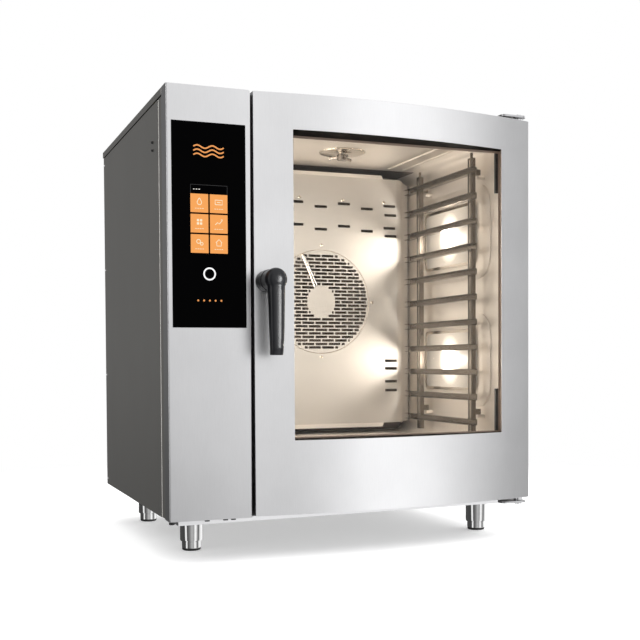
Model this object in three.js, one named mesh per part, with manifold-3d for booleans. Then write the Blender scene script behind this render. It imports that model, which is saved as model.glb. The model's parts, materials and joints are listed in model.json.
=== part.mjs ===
// Combi steamer oven for eleven GN 1/1 trays: a stainless casing on four levelling feet, a control column
// on the left and a bowed door on the right, with a window into the lit cooking chamber.
//
// Millimetres. X runs to the right, Y to the back and Z up from the floor. While the pieces are made, X
// starts at the casing's left face and Y at the control column's front face; the last lines move the origin
// to the middle of the oven's footprint on the floor.
import * as THREE from "three";
import { mergeVertices } from "three/addons/utils/BufferGeometryUtils.js";
import Module from "manifold-3d";

const wasm = await Module();
wasm.setup();

// ---------------------------------------------------------------- driving dimensions
const WIDTH = 933; // casing, side to side
const DEPTH = 800; // control column's front face to the rear panel
const HEIGHT = 1046; // floor to the casing's top
const LEG = 100; // floor to the casing's lower edge
const SHEET = 1.5; // stainless sheet
const FIT = 0.4; // clearance between pieces that touch
const HANDLE_REACH = 90; // door handle, in front of the column's front face
const BACK_REACH = 36; // pipe stubs, behind the rear panel

// The control column, and the door beside it.
const COLUMN_WIDTH = 189;
const COLUMN_RETURN = 42; // depth of the column cover's folded edges
const POST_Y = [44, 77]; // frame post that shows between column cover and side panel
const PANEL_FRONT_Y = 82; // front edge of the left side panel
const LIP = 16; // folded edge of the top cover
const OVERHANG = 1.5; // top cover, beyond the side panels
const GLASS = { x: [12, 177], z: [522.5, 967], t: 4 }; // control panel glass
const DISPLAY = { x: [51, 137], z: [681, 832] };
const DOOR = { x: [196, 933], z: [102, 1045], recess: 46, bow: 36, back: 95 };
const WINDOW = { x: [286.5, 842.5], z: [269.5, 965], edgeY: 24.5, splay: 10 };
const OUTER_PANE_Y = 50;
const INNER_PANE = { x: [262, 878], z: [246, 999], y: 89.5, t: 5 };
const FRAME_Y = 101; // front face of the chamber's front frame

// The cooking chamber, inside faces, and what is in it.
const CHAMBER = { x: [254, 890], z: [240, 1005], back: 690, corner: 22 };
const CHAMBER_X = (CHAMBER.x[0] + CHAMBER.x[1]) / 2;
const FAN_Z = 617;
const BAFFLE_Y = 555;
const RAIL = { count: 11, pitch: 65, z: 287, y: [155, 545], height: 16, depth: 18 };
const RAIL_FACE = 276; // chamber's middle to a rail's web
const POST = { y: [183, 481], width: 20, depth: 12, z: [252, 975] }; // the rack's two uprights
const PEG_Z = [300, 925]; // pegs that the racks hang on
const LAMPS = [788, 449]; // lamp heights: upper, lower
const LAMP = { y: 367, glass: [285, 160], cut: [240, 110] };
const DRAIN = { x: CHAMBER_X, y: 340, r: 30 };
const SPRAY = { x: 561, y: 368, r: 62 };

// Legs, hinges and latch.
const LEGS = {
  front_left: [100, 207],
  front_right: [873, 207],
  back_left: [100, 700],
  back_right: [873, 700],
};
const SLEEVE = { r: 27, z: [22, 84] };
const FOOT = { r: 22.7, top: 58 };
const BASE = { x: [40, 905], y: [105, 780], z: [84, 99.5] };
const HINGE = { x: 918, y: 72, pin: 6, plate: 5, gap: 10 };
const LATCH = { x: 222.5, z: 625.5 };

// ---------------------------------------------------------------- materials
const steel = (color, roughness) =>
  new THREE.MeshStandardMaterial({ color, roughness, metalness: 1 });
const dull = (color, roughness) =>
  new THREE.MeshStandardMaterial({ color, roughness, metalness: 0 });
const M = {
  casing: steel(0xb9b9bb, 0.38),
  chamber: steel(0xc9c0b2, 0.3),
  polished: steel(0xd0d0d2, 0.12),
  bracket: steel(0x9a9a9c, 0.3),
  liner: steel(0x3a3835, 0.3),
  blackGlass: dull(0x08080a, 0.08),
  clearGlass: new THREE.MeshStandardMaterial({
    color: 0xe8eceb,
    roughness: 0.02,
    metalness: 0,
    transparent: true,
    opacity: 0.25,
  }),
  lampGlass: dull(0xfff2d8, 0.15),
  plastic: dull(0x35363a, 0.35),
  rubber: dull(0x141414, 0.7),
  silicone: dull(0x55504a, 0.6),
  wool: dull(0xb8a878, 0.95),
  board: dull(0x1f5a37, 0.6),
  brass: steel(0xb08d4a, 0.3),
  aluminium: steel(0xa8aaad, 0.4),
  element: steel(0x57504a, 0.5),
};

// ---------------------------------------------------------------- shape helpers
const mid = ([low, high]) => (low + high) / 2;
const grow = ([low, high], by) => [low - by, high + by];
const around = (centre, half) => [centre - half, centre + half];

// A geometry as a manifold-3d solid, and back.
function solid(geometry) {
  const bare = geometry.clone();
  bare.deleteAttribute("normal");
  bare.deleteAttribute("uv");
  const merged = mergeVertices(bare, 1e-3);
  return new wasm.Manifold(
    new wasm.Mesh({
      numProp: 3,
      vertProperties: merged.attributes.position.array,
      triVerts: new Uint32Array(merged.index.array),
    }),
  );
}

function toGeometry(made) {
  const { vertProperties, triVerts } = made.getMesh();
  return new THREE.BufferGeometry()
    .setAttribute("position", new THREE.BufferAttribute(vertProperties, 3))
    .setIndex(new THREE.BufferAttribute(triVerts, 1));
}

// Joins some geometries, then takes others away.
function build(joined, removed = []) {
  let made = solid(joined[0]);
  for (const g of joined.slice(1)) made = made.add(solid(g));
  for (const g of removed) made = made.subtract(solid(g));
  return toGeometry(made);
}

const block = (x, y, z) =>
  new THREE.BoxGeometry(x[1] - x[0], y[1] - y[0], z[1] - z[0]).translate(
    mid(x),
    mid(y),
    mid(z),
  );

const extrude = (shape, depth, curveSegments = 6) =>
  new THREE.ExtrudeGeometry(shape, { depth, bevelEnabled: false, curveSegments });

// A plan outline in X and Y, raised over z.
const raise = (plan, z, segments) => extrude(plan, z[1] - z[0], segments).translate(0, 0, z[0]);

// A front outline in X and Z, run back over y.
const runBack = (front, y, segments) =>
  extrude(front, y[1] - y[0], segments)
    .rotateX(Math.PI / 2)
    .translate(0, y[1], 0);

// A side outline in Y and Z, run across over x.
const ACROSS = new THREE.Matrix4().makeBasis(
  new THREE.Vector3(0, 1, 0),
  new THREE.Vector3(0, 0, 1),
  new THREE.Vector3(1, 0, 0),
);
const runAcross = (side, x, segments) =>
  extrude(side, x[1] - x[0], segments)
    .applyMatrix4(ACROSS)
    .translate(x[0], 0, 0);

const polygon = (points) => new THREE.Shape(points.map(([a, b]) => new THREE.Vector2(a, b)));

function roundedRect([a0, a1], [b0, b1], r) {
  const s = new THREE.Shape();
  s.moveTo(a0 + r, b0);
  s.lineTo(a1 - r, b0);
  s.absarc(a1 - r, b0 + r, r, -Math.PI / 2, 0);
  s.lineTo(a1, b1 - r);
  s.absarc(a1 - r, b1 - r, r, 0, Math.PI / 2);
  s.lineTo(a0 + r, b1);
  s.absarc(a0 + r, b1 - r, r, Math.PI / 2, Math.PI);
  s.lineTo(a0, b0 + r);
  s.absarc(a0 + r, b0 + r, r, Math.PI, 1.5 * Math.PI);
  return s;
}

// A rounded rectangle with a rounded rectangular hole.
function ringShape(outerA, outerB, outerR, innerA, innerB, innerR) {
  const s = roundedRect(outerA, outerB, outerR);
  s.holes.push(roundedRect(innerA, innerB, innerR));
  return s;
}

// Rounds of a profile of [radius, height] pairs, about Z or about Y.
const latheZ = (profile, x, y, segments = 20) =>
  new THREE.LatheGeometry(profile.map(([r, h]) => new THREE.Vector2(r, h)), segments)
    .rotateX(Math.PI / 2)
    .translate(x, y, 0);
const latheY = (profile, x, z, segments = 20) =>
  new THREE.LatheGeometry(profile.map(([r, h]) => new THREE.Vector2(r, h)), segments).translate(x, 0, z);

const rodZ = (x, y, r, z, segments = 20) =>
  latheZ([[0, z[0]], [r, z[0]], [r, z[1]], [0, z[1]]], x, y, segments);
const rodY = (x, z, r, y, segments = 20) =>
  latheY([[0, y[0]], [r, y[0]], [r, y[1]], [0, y[1]]], x, z, segments);
const rodX = (y, z, r, x, segments = 16) =>
  new THREE.CylinderGeometry(r, r, x[1] - x[0], segments)
    .rotateZ(Math.PI / 2)
    .translate(mid(x), y, z);

// A round bar along a line of points, with rounded bends where the curve is smooth.
function bar(points, r, steps, sides) {
  const curve = new THREE.CatmullRomCurve3(
    points.map((p) => new THREE.Vector3(...p)),
    false,
    "centripetal",
  );
  const section = new THREE.Shape();
  section.absarc(0, 0, r, 0, 2 * Math.PI);
  return new THREE.ExtrudeGeometry(section, {
    steps,
    curveSegments: sides,
    extrudePath: curve,
    bevelEnabled: false,
  });
}

const oven = new THREE.Group();
function piece(name, geometry, material) {
  const mesh = new THREE.Mesh(geometry, material);
  mesh.name = name;
  oven.add(mesh);
}

// ---------------------------------------------------------------- casing
const LOW = LEG; // the casing panels' lower edge
const UNDER_LIP = HEIGHT - LIP - 2; // top of the side and rear panels

function casing() {
  const left = OVERHANG;
  const right = WIDTH - OVERHANG;
  const flange = 14;

  // Side panels are shallow trays: a face with its edges folded in.
  const sideTray = (x, hollow, y) =>
    build(
      [block(x, y, [LOW, UNDER_LIP])],
      [block(hollow, grow(y, -SHEET), [LOW + SHEET, UNDER_LIP - SHEET])],
    );
  piece(
    "left_side_panel",
    sideTray([left, flange], [left + SHEET, flange + 1], [PANEL_FRONT_Y, DEPTH - 2]),
    M.casing,
  );
  piece(
    "right_side_panel",
    sideTray(
      [WIDTH - flange, right],
      [WIDTH - flange - 1, right - SHEET],
      [FRAME_Y + 3, DEPTH - 2],
    ),
    M.casing,
  );

  // Rear panel, with cut-outs for the services and rows of cooling louvres.
  const rearY = [DEPTH - SHEET, DEPTH];
  const cuts = [];
  for (const [x, z, r] of [
    [INLETS.x[0], INLETS.z, INLETS.r + 3],
    [INLETS.x[1], INLETS.z, INLETS.r + 3],
    [DRAIN_BOX.outX, DRAIN_BOX.outZ, DRAIN_BOX.outR + 3],
    [GLAND.x, GLAND.z, GLAND.r + FIT],
  ])
    cuts.push(rodY(x, z, r, grow(rearY, 1), 16));
  for (const column of [0, 1])
    for (let row = 0; row < 6; row++)
      cuts.push(
        block(
          [720 + column * 70, 775 + column * 70],
          grow(rearY, 1),
          [240 + row * 24, 248 + row * 24],
        ),
      );
  cuts.push(rodY(COOLER.x, COOLER.z, COOLER.r, grow(rearY, 1), 24));
  piece(
    "rear_panel",
    build([block([flange + FIT, WIDTH - flange - FIT], rearY, [LOW, UNDER_LIP])], cuts),
    M.casing,
  );

  // Top cover: L-shaped in plan, because the door's top stands in its front right corner.
  const plan = (inset, frontInset) =>
    polygon([
      [inset, POST_Y[0] + frontInset],
      [COLUMN_WIDTH - frontInset, POST_Y[0] + frontInset],
      [COLUMN_WIDTH - frontInset, FRAME_Y + 3],
      [WIDTH - inset, FRAME_Y + 3],
      [WIDTH - inset, DEPTH - inset],
      [inset, DEPTH - inset],
    ]);
  const inner = polygon([
    [SHEET, POST_Y[0] - 1],
    [COLUMN_WIDTH + 1, POST_Y[0] - 1],
    [COLUMN_WIDTH + 1, FRAME_Y],
    [WIDTH - SHEET, FRAME_Y],
    [WIDTH - SHEET, DEPTH - SHEET],
    [SHEET, DEPTH - SHEET],
  ]);
  piece(
    "top_cover",
    build(
      [raise(plan(0, 0), [HEIGHT - LIP, HEIGHT])],
      [
        raise(inner, [HEIGHT - LIP - 1, HEIGHT - SHEET]),
        rodZ(EXHAUST.x, EXHAUST.y, EXHAUST.r + 2, [HEIGHT - 5, HEIGHT + 5]),
      ],
    ),
    M.casing,
  );

  // Frame post that shows as a narrow strip between the column cover and the side panel.
  piece(
    "front_post_left",
    build(
      [block([2, 26], POST_Y, [LOW + 1, UNDER_LIP])],
      [block([2 + SHEET, 27], [POST_Y[0] + SHEET, POST_Y[1] - SHEET], [LOW, HEIGHT])],
    ),
    M.casing,
  );
}

// ---------------------------------------------------------------- control column
function controlColumn() {
  const cover = [block([0, COLUMN_WIDTH], [0, FRAME_Y - 3], [LOW, HEIGHT])];
  const removed = [
    block([SHEET, COLUMN_WIDTH - SHEET], [SHEET, FRAME_Y], [LOW + SHEET, HEIGHT - SHEET]),
    block([-1, COLUMN_WIDTH - SHEET], [COLUMN_RETURN, FRAME_Y], [LOW - 1, HEIGHT + 1]),
    block([-1, COLUMN_WIDTH + 1], [COLUMN_RETURN, FRAME_Y], [UNDER_LIP, HEIGHT + 1]),
    block(grow(GLASS.x, FIT), [-1, SHEET + 1], grow(GLASS.z, FIT)),
  ];
  piece("column_cover", build(cover, removed), M.casing);
  piece("control_glass", block(GLASS.x, [-0.6, GLASS.t], GLASS.z), M.blackGlass);
  piece(
    "display_module",
    build([
      block(DISPLAY.x, [GLASS.t + FIT, GLASS.t + 9], DISPLAY.z),
      block([70, 118], [GLASS.t + 8, GLASS.t + 13], [720, 790]),
    ]),
    M.blackGlass,
  );
  // Main board on the back of the glass, with its larger components.
  const boardY = [24, 26];
  piece(
    "control_board",
    build([
      block([28, 162], boardY, [560, 900]),
      block([40, 80], [26, 38], [590, 640]),
      block([100, 150], [26, 34], [600, 660]),
      block([40, 90], [26, 46], [820, 880]),
      block([110, 150], [26, 32], [760, 880]),
      block([44, 60], [26, 40], [670, 780]),
    ]),
    M.board,
  );
}

// ---------------------------------------------------------------- services in the column and at the back
const INLETS = { x: [70, 130], z: 170, r: 13 };
const DRAIN_BOX = { x: [470, 678], y: [250, 600], z: [104, 205], outX: 560, outZ: 142, outR: 25 };
const GLAND = { x: 210, z: 140, r: 16 };
const COOLER = { x: 120, z: 820, r: 54, half: 60, y: [762, 787] };
const EXHAUST = { x: 330, y: 742, z: 940, r: 30, top: 1096 };

function services() {
  // Cooling fan behind the rear panel's round opening.
  const square = around(COOLER.x, COOLER.half);
  const squareZ = around(COOLER.z, COOLER.half);
  piece(
    "cooling_fan_frame",
    build(
      [block(square, COOLER.y, squareZ)],
      [rodY(COOLER.x, COOLER.z, COOLER.r + 1, grow(COOLER.y, 1), 24)],
    ),
    M.plastic,
  );
  const blades = [rodY(COOLER.x, COOLER.z, 20, [COOLER.y[0] + 3, COOLER.y[1] - 3], 16)];
  for (let i = 0; i < 7; i++)
    blades.push(
      new THREE.BoxGeometry(34, 2.4, 24)
        .rotateX(0.6)
        .translate(34, 0, 0)
        .rotateY((i * 2 * Math.PI) / 7)
        .translate(COOLER.x, mid(COOLER.y), COOLER.z),
    );
  piece("cooling_fan_rotor", build(blades), M.plastic);

  // Two water inlets: a solenoid valve each, with its threaded stub through the rear panel.
  INLETS.x.forEach((x, i) => {
    piece(
      i ? "water_valve_treated" : "water_valve_raw",
      build(
        [
          rodY(x, INLETS.z, INLETS.r, [DEPTH - 30, DEPTH + 26], 20),
          rodY(x, INLETS.z, 18, [DEPTH - 34, DEPTH - 20], 6),
          block([x - 15, x + 15], [DEPTH - 75, DEPTH - 30], [INLETS.z - 14, INLETS.z + 14]),
          rodZ(x, DEPTH - 52, 14, [INLETS.z + 10, INLETS.z + 50], 16),
        ],
        [rodY(x, INLETS.z, INLETS.r - 4, [DEPTH + 23, DEPTH + 27], 20)],
      ),
      M.brass,
    );
  });

  // Drain box under the chamber. Its neck meets the floor's drain, and its spigot leaves at the back.
  const { x, y, z, outX, outZ, outR } = DRAIN_BOX;
  piece(
    "drain_box",
    build(
      [
        raise(roundedRect(x, y, 20), z, 4),
        rodZ(DRAIN.x, DRAIN.y, DRAIN.r + 3, [z[1] - 1, CHAMBER.z[0] - SHEET - FIT]),
        rodY(outX, outZ, outR, [y[1] - 10, DEPTH + BACK_REACH], 20),
      ],
      [
        rodZ(DRAIN.x, DRAIN.y, DRAIN.r, [z[1] - 30, CHAMBER.z[0]]),
        rodY(outX, outZ, outR - 3, [DEPTH - 40, DEPTH + BACK_REACH + 1], 20),
      ],
    ),
    M.plastic,
  );

  piece(
    "cable_gland",
    build(
      [
        rodY(GLAND.x, GLAND.z, GLAND.r, [DEPTH - 18, DEPTH + 6], 20),
        rodY(GLAND.x, GLAND.z, GLAND.r + 4, [DEPTH + FIT, DEPTH + 9], 6),
        rodY(GLAND.x, GLAND.z, GLAND.r + 1, [DEPTH + 8, DEPTH + 24], 20),
      ],
      [rodY(GLAND.x, GLAND.z, 9, [DEPTH + 21, DEPTH + 25], 16)],
    ),
    M.plastic,
  );

  // Exhaust: from the chamber's back wall, through a bend and up through the top cover.
  const wall = new THREE.Shape();
  wall.absarc(0, 0, EXHAUST.r, 0, 2 * Math.PI);
  const bore = new THREE.Path();
  bore.absarc(0, 0, EXHAUST.r - 2, 0, 2 * Math.PI);
  wall.holes.push(bore);
  const start = CHAMBER.back + SHEET + 2 * FIT;
  const bend = new THREE.QuadraticBezierCurve3(
    new THREE.Vector3(EXHAUST.x, start, EXHAUST.z),
    new THREE.Vector3(EXHAUST.x, EXHAUST.y, EXHAUST.z),
    new THREE.Vector3(EXHAUST.x, EXHAUST.y, EXHAUST.z + 50),
  );
  const elbow = new THREE.ExtrudeGeometry(wall, {
    steps: 5,
    curveSegments: 7,
    extrudePath: bend,
    bevelEnabled: false,
  });
  piece(
    "exhaust_stack",
    build(
      [
        elbow,
        latheZ(
          [
            [EXHAUST.r - 2, EXHAUST.z + 49.5],
            [EXHAUST.r, EXHAUST.z + 49.5],
            [EXHAUST.r, EXHAUST.top],
            [EXHAUST.r - 2, EXHAUST.top],
            [EXHAUST.r - 2, EXHAUST.z + 49.5],
          ],
          EXHAUST.x,
          EXHAUST.y,
          20,
        ),
      ],
    ),
    M.casing,
  );
}

// ---------------------------------------------------------------- cooking chamber
const lampWindow = (x, z, [length, height], r) =>
  runAcross(roundedRect(around(LAMP.y, length / 2), around(z, height / 2), r), x, 2);

function chamber() {
  const { x, z, back, corner } = CHAMBER;
  const wallX = grow(x, SHEET);
  const wallZ = grow(z, SHEET);
  const front = FRAME_Y + 2 + FIT;

  // The shell is one sheet bent round into a tube with rounded corners. Its right wall has two pressed pads
  // with the lamp openings, the floor has the drain, and both walls carry the pegs for the racks.
  const parts = [runBack(ringShape(wallX, wallZ, corner + SHEET, x, z, corner), [front, back], 3)];
  const removed = [
    rodZ(DRAIN.x, DRAIN.y, DRAIN.r, [z[0] - 5, z[0] + 5]),
    rodZ(SPRAY.x, SPRAY.y, 12, [z[1] - 5, z[1] + 5], 12),
  ];
  for (const lamp of LAMPS) {
    parts.push(lampWindow([x[1] - 3, x[1] + 0.5], lamp, [422, 250], 60));
    removed.push(lampWindow([x[1] - 4, x[1] + 3], lamp, LAMP.cut, 20));
  }
  for (const y of POST.y)
    for (const pegZ of PEG_Z) {
      parts.push(rodX(y + POST.width / 2, pegZ, 5, [x[1] - 20, x[1] + 0.5], 10));
      parts.push(rodX(y + POST.width / 2, pegZ, 5, [x[0] - 0.5, x[0] + 20], 10));
    }
  piece("chamber_shell", build(parts, removed), M.chamber);

  piece(
    "chamber_back",
    build(
      [runBack(roundedRect(wallX, wallZ, corner + SHEET), [back + FIT, back + FIT + SHEET], 3)],
      [
        rodY(CHAMBER_X, FAN_Z, 14, grow([back, back + 3], 2), 16),
        rodY(EXHAUST.x, EXHAUST.z, EXHAUST.r - 2, grow([back, back + 3], 2), 20),
        rodY(PIPE.x[0], PIPE.z[0], 5, grow([back, back + 3], 2), 8),
      ],
    ),
    M.chamber,
  );

  // Front frame: the flange round the chamber's mouth.
  const frameX = [COLUMN_WIDTH + 0.6, WIDTH - FIT];
  const frameZ = [LOW + FIT, HEIGHT - 0.6];
  piece(
    "front_frame",
    build(
      [block(frameX, [FRAME_Y, FRAME_Y + 2], frameZ)],
      [
        runBack(roundedRect(x, z, corner), [FRAME_Y - 1, FRAME_Y + 3], 3),
        block(around(LATCH.x, 20), [FRAME_Y - 1, FRAME_Y + 3], around(LATCH.z, 22)),
      ],
    ),
    M.casing,
  );

  piece(
    "door_seal",
    runBack(
      ringShape(grow(x, 13), grow(z, 13), corner + 13, grow(x, 4), grow(z, 4), corner + 4),
      [DOOR.back + FIT, FRAME_Y - FIT],
      5,
    ),
    M.silicone,
  );

  // Mineral wool wrapped round the shell, with room left for the lamps, the latch, the drain and the spray.
  const wool = 28;
  const lampRoom = LAMPS.map((lamp) =>
    block([x[1], x[1] + 60], around(LAMP.y, 135), around(lamp, 70)),
  );
  piece(
    "insulation_wrap",
    build(
      [
        runBack(
          ringShape(
            grow(wallX, wool),
            grow(wallZ, wool),
            corner + wool,
            grow(wallX, 0.5),
            grow(wallZ, 0.5),
            corner + 2,
          ),
          [FRAME_Y + 6, back],
          4,
        ),
      ],
      [
        ...lampRoom,
        block([0, x[0] - SHEET], [0, 150], around(LATCH.z, 45)),
        rodZ(DRAIN.x, DRAIN.y, DRAIN.r + 6, [150, z[0] + 1], 16),
        rodZ(SPRAY.x, SPRAY.y, 14, [z[1], HEIGHT], 12),
      ],
    ),
    M.wool,
  );

  // Lamps: a glass plate on each pad, and a housing with its halogen lamp behind the wall.
  ["upper", "lower"].forEach((place, i) => {
    const lamp = LAMPS[i];
    const [length, height] = LAMP.cut;
    piece(
      `lamp_glass_${place}`,
      lampWindow([x[1] - 8, x[1] - 3 - FIT], lamp, LAMP.glass, 26),
      M.lampGlass,
    );
    piece(
      `lamp_housing_${place}`,
      build(
        [
          block([x[1] + SHEET + FIT, x[1] + 30], around(LAMP.y, 126), around(lamp, 62)),
          rodZ(x[1] + 15, LAMP.y, 7, around(lamp, 61), 12),
        ],
        [
          runAcross(
            ringShape(
              around(LAMP.y, length / 2 + 3),
              around(lamp, height / 2 + 4),
              20,
              around(LAMP.y, 8),
              around(lamp, 40),
              5,
            ),
            [x[1], x[1] + 28],
            4,
          ),
        ],
      ),
      M.aluminium,
    );
  });

  // Wash spray in the ceiling: a round plate, and a three-armed head that turns on its pipe.
  const plate = [
    [0, z[1] - 4],
    [SPRAY.r - 2, z[1] - 4],
    [SPRAY.r, z[1] - 2],
    [SPRAY.r, z[1] - FIT],
    [0, z[1] - FIT],
  ];
  piece(
    "spray_plate",
    build([
      latheZ(plate, SPRAY.x, SPRAY.y, 32),
      rodZ(SPRAY.x, SPRAY.y, 10, [z[1] - 8, z[1] + 24], 16),
    ]),
    M.chamber,
  );
  const head = [rodZ(SPRAY.x, SPRAY.y, 14, [z[1] - 23, z[1] - 8 - FIT], 16)];
  for (let i = 0; i < 3; i++) {
    head.push(
      new THREE.CylinderGeometry(4, 4, 26, 8)
        .rotateZ(Math.PI / 2 - 0.12)
        .translate(23, 0, 0)
        .rotateX(Math.PI / 2)
        .rotateZ((i * 2 * Math.PI) / 3 + 0.5)
        .translate(SPRAY.x, SPRAY.y, z[1] - 16),
    );
  }
  piece("spray_head", build(head), M.polished);

  // Drain sieve that lifts out of the floor.
  const slots = [-2, -1, 0, 1, 2].map((i) =>
    block(around(DRAIN.x, 20 - 3 * Math.abs(i)), around(DRAIN.y + i * 9, 2), [z[0] - 20, z[0] + 10]),
  );
  piece(
    "drain_sieve",
    build(
      [
        latheZ(
          [[0, z[0] + FIT], [DRAIN.r + 7, z[0] + FIT], [DRAIN.r + 5, z[0] + 3], [0, z[0] + 3]],
          DRAIN.x,
          DRAIN.y,
        ),
        rodZ(DRAIN.x, DRAIN.y, DRAIN.r - 1.5, [z[0] - 12, z[0] + 1]),
      ],
      [rodZ(DRAIN.x, DRAIN.y, DRAIN.r - 3, [z[0] - 13, z[0] + FIT]), ...slots],
    ),
    M.polished,
  );
}

// ---------------------------------------------------------------- fan, heater and baffle
const GRILLE = { r: 143, hub: 42, pitch: 20, slot: 8, length: 66, step: 76, shortest: 8 };
const MOTOR = { r: 58, y: [694, 788] };
const PIPE = { x: [511.5, 549], z: [753, 659], y: 547, r: 3 }; // water pipe that ends at the fan's hub

// Slots of the round grille: rows of a brick pattern, clipped to the ring between hub and rim.
function grilleSlots() {
  const slots = [];
  const rows = Math.floor(GRILLE.r / GRILLE.pitch);
  for (let row = -rows; row <= rows; row++) {
    const h = row * GRILLE.pitch;
    const reach = Math.sqrt(GRILLE.r ** 2 - (Math.abs(h) + GRILLE.slot / 2) ** 2 || 0);
    const inside = Math.abs(h) < GRILLE.hub ? Math.sqrt(GRILLE.hub ** 2 - h ** 2) : 0;
    const shift = row % 2 ? GRILLE.step / 2 : 0;
    for (let i = -3; i <= 3; i++) {
      const span = around(i * GRILLE.step + shift, GRILLE.length / 2);
      const low = Math.max(span[0], -reach);
      const high = Math.min(span[1], reach);
      const leftOfHub = [low, Math.min(high, -inside)];
      const rightOfHub = [Math.max(low, inside), high];
      const clipped = inside ? [leftOfHub, rightOfHub] : [[low, high]];
      for (const [a, b] of clipped)
        if (b - a > GRILLE.shortest)
          slots.push({ x: [CHAMBER_X + a, CHAMBER_X + b], z: around(FAN_Z + h, GRILLE.slot / 2) });
    }
  }
  return slots;
}

// Slots near the baffle's top and edges that even out the air flow.
function airSlots() {
  const slots = [];
  const column = 71;
  const length = 38;
  const height = 6.5;
  const add = (k, z) =>
    slots.push({ x: around(CHAMBER_X + k * column, length / 2), z: around(z, height / 2) });
  for (let k = -3; k <= 3; k++)
    for (const z of [k % 2 ? 897 : 886, k % 2 ? 833 : 822]) add(k, z);
  for (const k of [-3, 3]) for (const z of [871, 811, 448, 425, 388, 362]) add(k, z);
  return slots;
}

function airSystem() {
  const bottom = 268;
  const top = 975;
  const face = 242; // half the flat face
  const wing = 74;

  // Baffle: a flat face with its sides bent back, slanted lips above and below, and its slots.
  // Each side is (beyond the flat face, behind its front) along the front and along the back.
  const front = [[0, 0], [12, 3], [22, 12], [32, 30], [wing, 85]];
  const rear = [[wing - 1.8, 86], [30.5, 31], [20.6, 13.2], [10.8, 4.7], [-1, SHEET]];
  const edge = (side) => ([out, back]) => [CHAMBER_X + side * (face + out), BAFFLE_Y + back];
  const plan = polygon([
    ...front.map(edge(1)),
    ...rear.map(edge(1)),
    ...[...rear].reverse().map(edge(-1)),
    ...[...front].reverse().map(edge(-1)),
  ]);
  const lipSection = [[0, -2], [SHEET, -2], [13, 12], [11.5, 13]];
  const lip = (z, up) => {
    const section = lipSection.map(([back, out]) => [BAFFLE_Y + back, z + up * out]);
    if (up < 0) section.reverse();
    return runAcross(polygon(section), around(CHAMBER_X, 195));
  };
  const through = [BAFFLE_Y - 2, BAFFLE_Y + 4];
  const cuts = [...grilleSlots(), ...airSlots()].map((s) => block(s.x, through, s.z));
  cuts.push(rodY(PIPE.x[0], PIPE.z[0] - 2, PIPE.r + 4, through, 10));
  piece(
    "fan_baffle",
    build([raise(plan, [bottom, top]), lip(top, 1), lip(bottom, -1)], cuts),
    M.chamber,
  );

  // Fan wheel: back plate, curved blades and front ring on a shaft.
  const [ringY, plateY] = [610, 672];
  const rim = 132;
  const ringWidth = 24;
  const gauge = 2.5;
  const backPlate = [
    [0, plateY],
    [rim, plateY],
    [rim, plateY + gauge],
    [26, plateY + gauge],
    [24, plateY + 12],
    [0, plateY + 12],
  ];
  const frontRing = [
    [rim - ringWidth, ringY],
    [rim, ringY],
    [rim, ringY + gauge],
    [rim - ringWidth, ringY + gauge],
    [rim - ringWidth, ringY],
  ];
  const wheel = [
    latheY(backPlate, CHAMBER_X, FAN_Z, 32),
    latheY(frontRing, CHAMBER_X, FAN_Z, 32),
    rodY(CHAMBER_X, FAN_Z, 22, [plateY - 26, plateY + 1], 16),
    rodY(CHAMBER_X, FAN_Z, 8, [plateY, MOTOR.y[0] + 14], 12),
  ];
  const blades = 14;
  for (let i = 0; i < blades; i++)
    wheel.push(
      new THREE.BoxGeometry(30, plateY - ringY - 1, 2.4)
        .rotateY(0.55)
        .translate(rim - 18, 0, 0)
        .rotateY((i * 2 * Math.PI) / blades)
        .translate(CHAMBER_X, mid([ringY, plateY]) + 1, FAN_Z),
    );
  piece("fan_wheel", build(wheel), M.polished);

  piece(
    "fan_motor",
    build(
      [
        latheY(
          [
            [0, MOTOR.y[0]],
            [70, MOTOR.y[0]],
            [70, MOTOR.y[0] + 6],
            [MOTOR.r, MOTOR.y[0] + 8],
            [MOTOR.r, MOTOR.y[1] - 10],
            [MOTOR.r - 12, MOTOR.y[1]],
            [0, MOTOR.y[1]],
          ],
          CHAMBER_X,
          FAN_Z,
        ),
        block(around(CHAMBER_X, 30), [MOTOR.y[0] + 20, MOTOR.y[0] + 70], [FAN_Z + 40, FAN_Z + 84]),
      ],
      [rodY(CHAMBER_X, FAN_Z, 9.5, [MOTOR.y[0] - 1, MOTOR.y[0] + 20], 12)],
    ),
    M.aluminium,
  );

  // Three-turn heating element round the wheel, on a terminal plate at the back wall.
  const turns = [612, 632, 652];
  const turn = new THREE.TorusGeometry(165, 4.4, 5, 24).rotateX(Math.PI / 2);
  const coil = turns.map((y) => turn.clone().translate(CHAMBER_X, y, FAN_Z));
  const terminalY = [CHAMBER.back - 6, CHAMBER.back - FIT];
  piece(
    "heating_element",
    build([
      ...coil,
      block(around(CHAMBER_X, 5), [turns[0], terminalY[1]], around(FAN_Z - 165, 4)),
      block(around(CHAMBER_X, 35), terminalY, around(FAN_Z - 165, 15)),
    ]),
    M.element,
  );

  // Water pipe: through the baffle, then down across the grille to the hub.
  piece(
    "injection_pipe",
    bar(
      [
        [PIPE.x[0], CHAMBER.back + 1, PIPE.z[0]],
        [PIPE.x[0], BAFFLE_Y + 12, PIPE.z[0]],
        [PIPE.x[0] + 0.5, PIPE.y + 1, PIPE.z[0] - 3],
        [PIPE.x[0] + 6, PIPE.y, PIPE.z[0] - 14],
        [PIPE.x[1], PIPE.y, PIPE.z[1]],
      ],
      PIPE.r,
      10,
      4,
    ),
    M.polished,
  );
}

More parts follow.
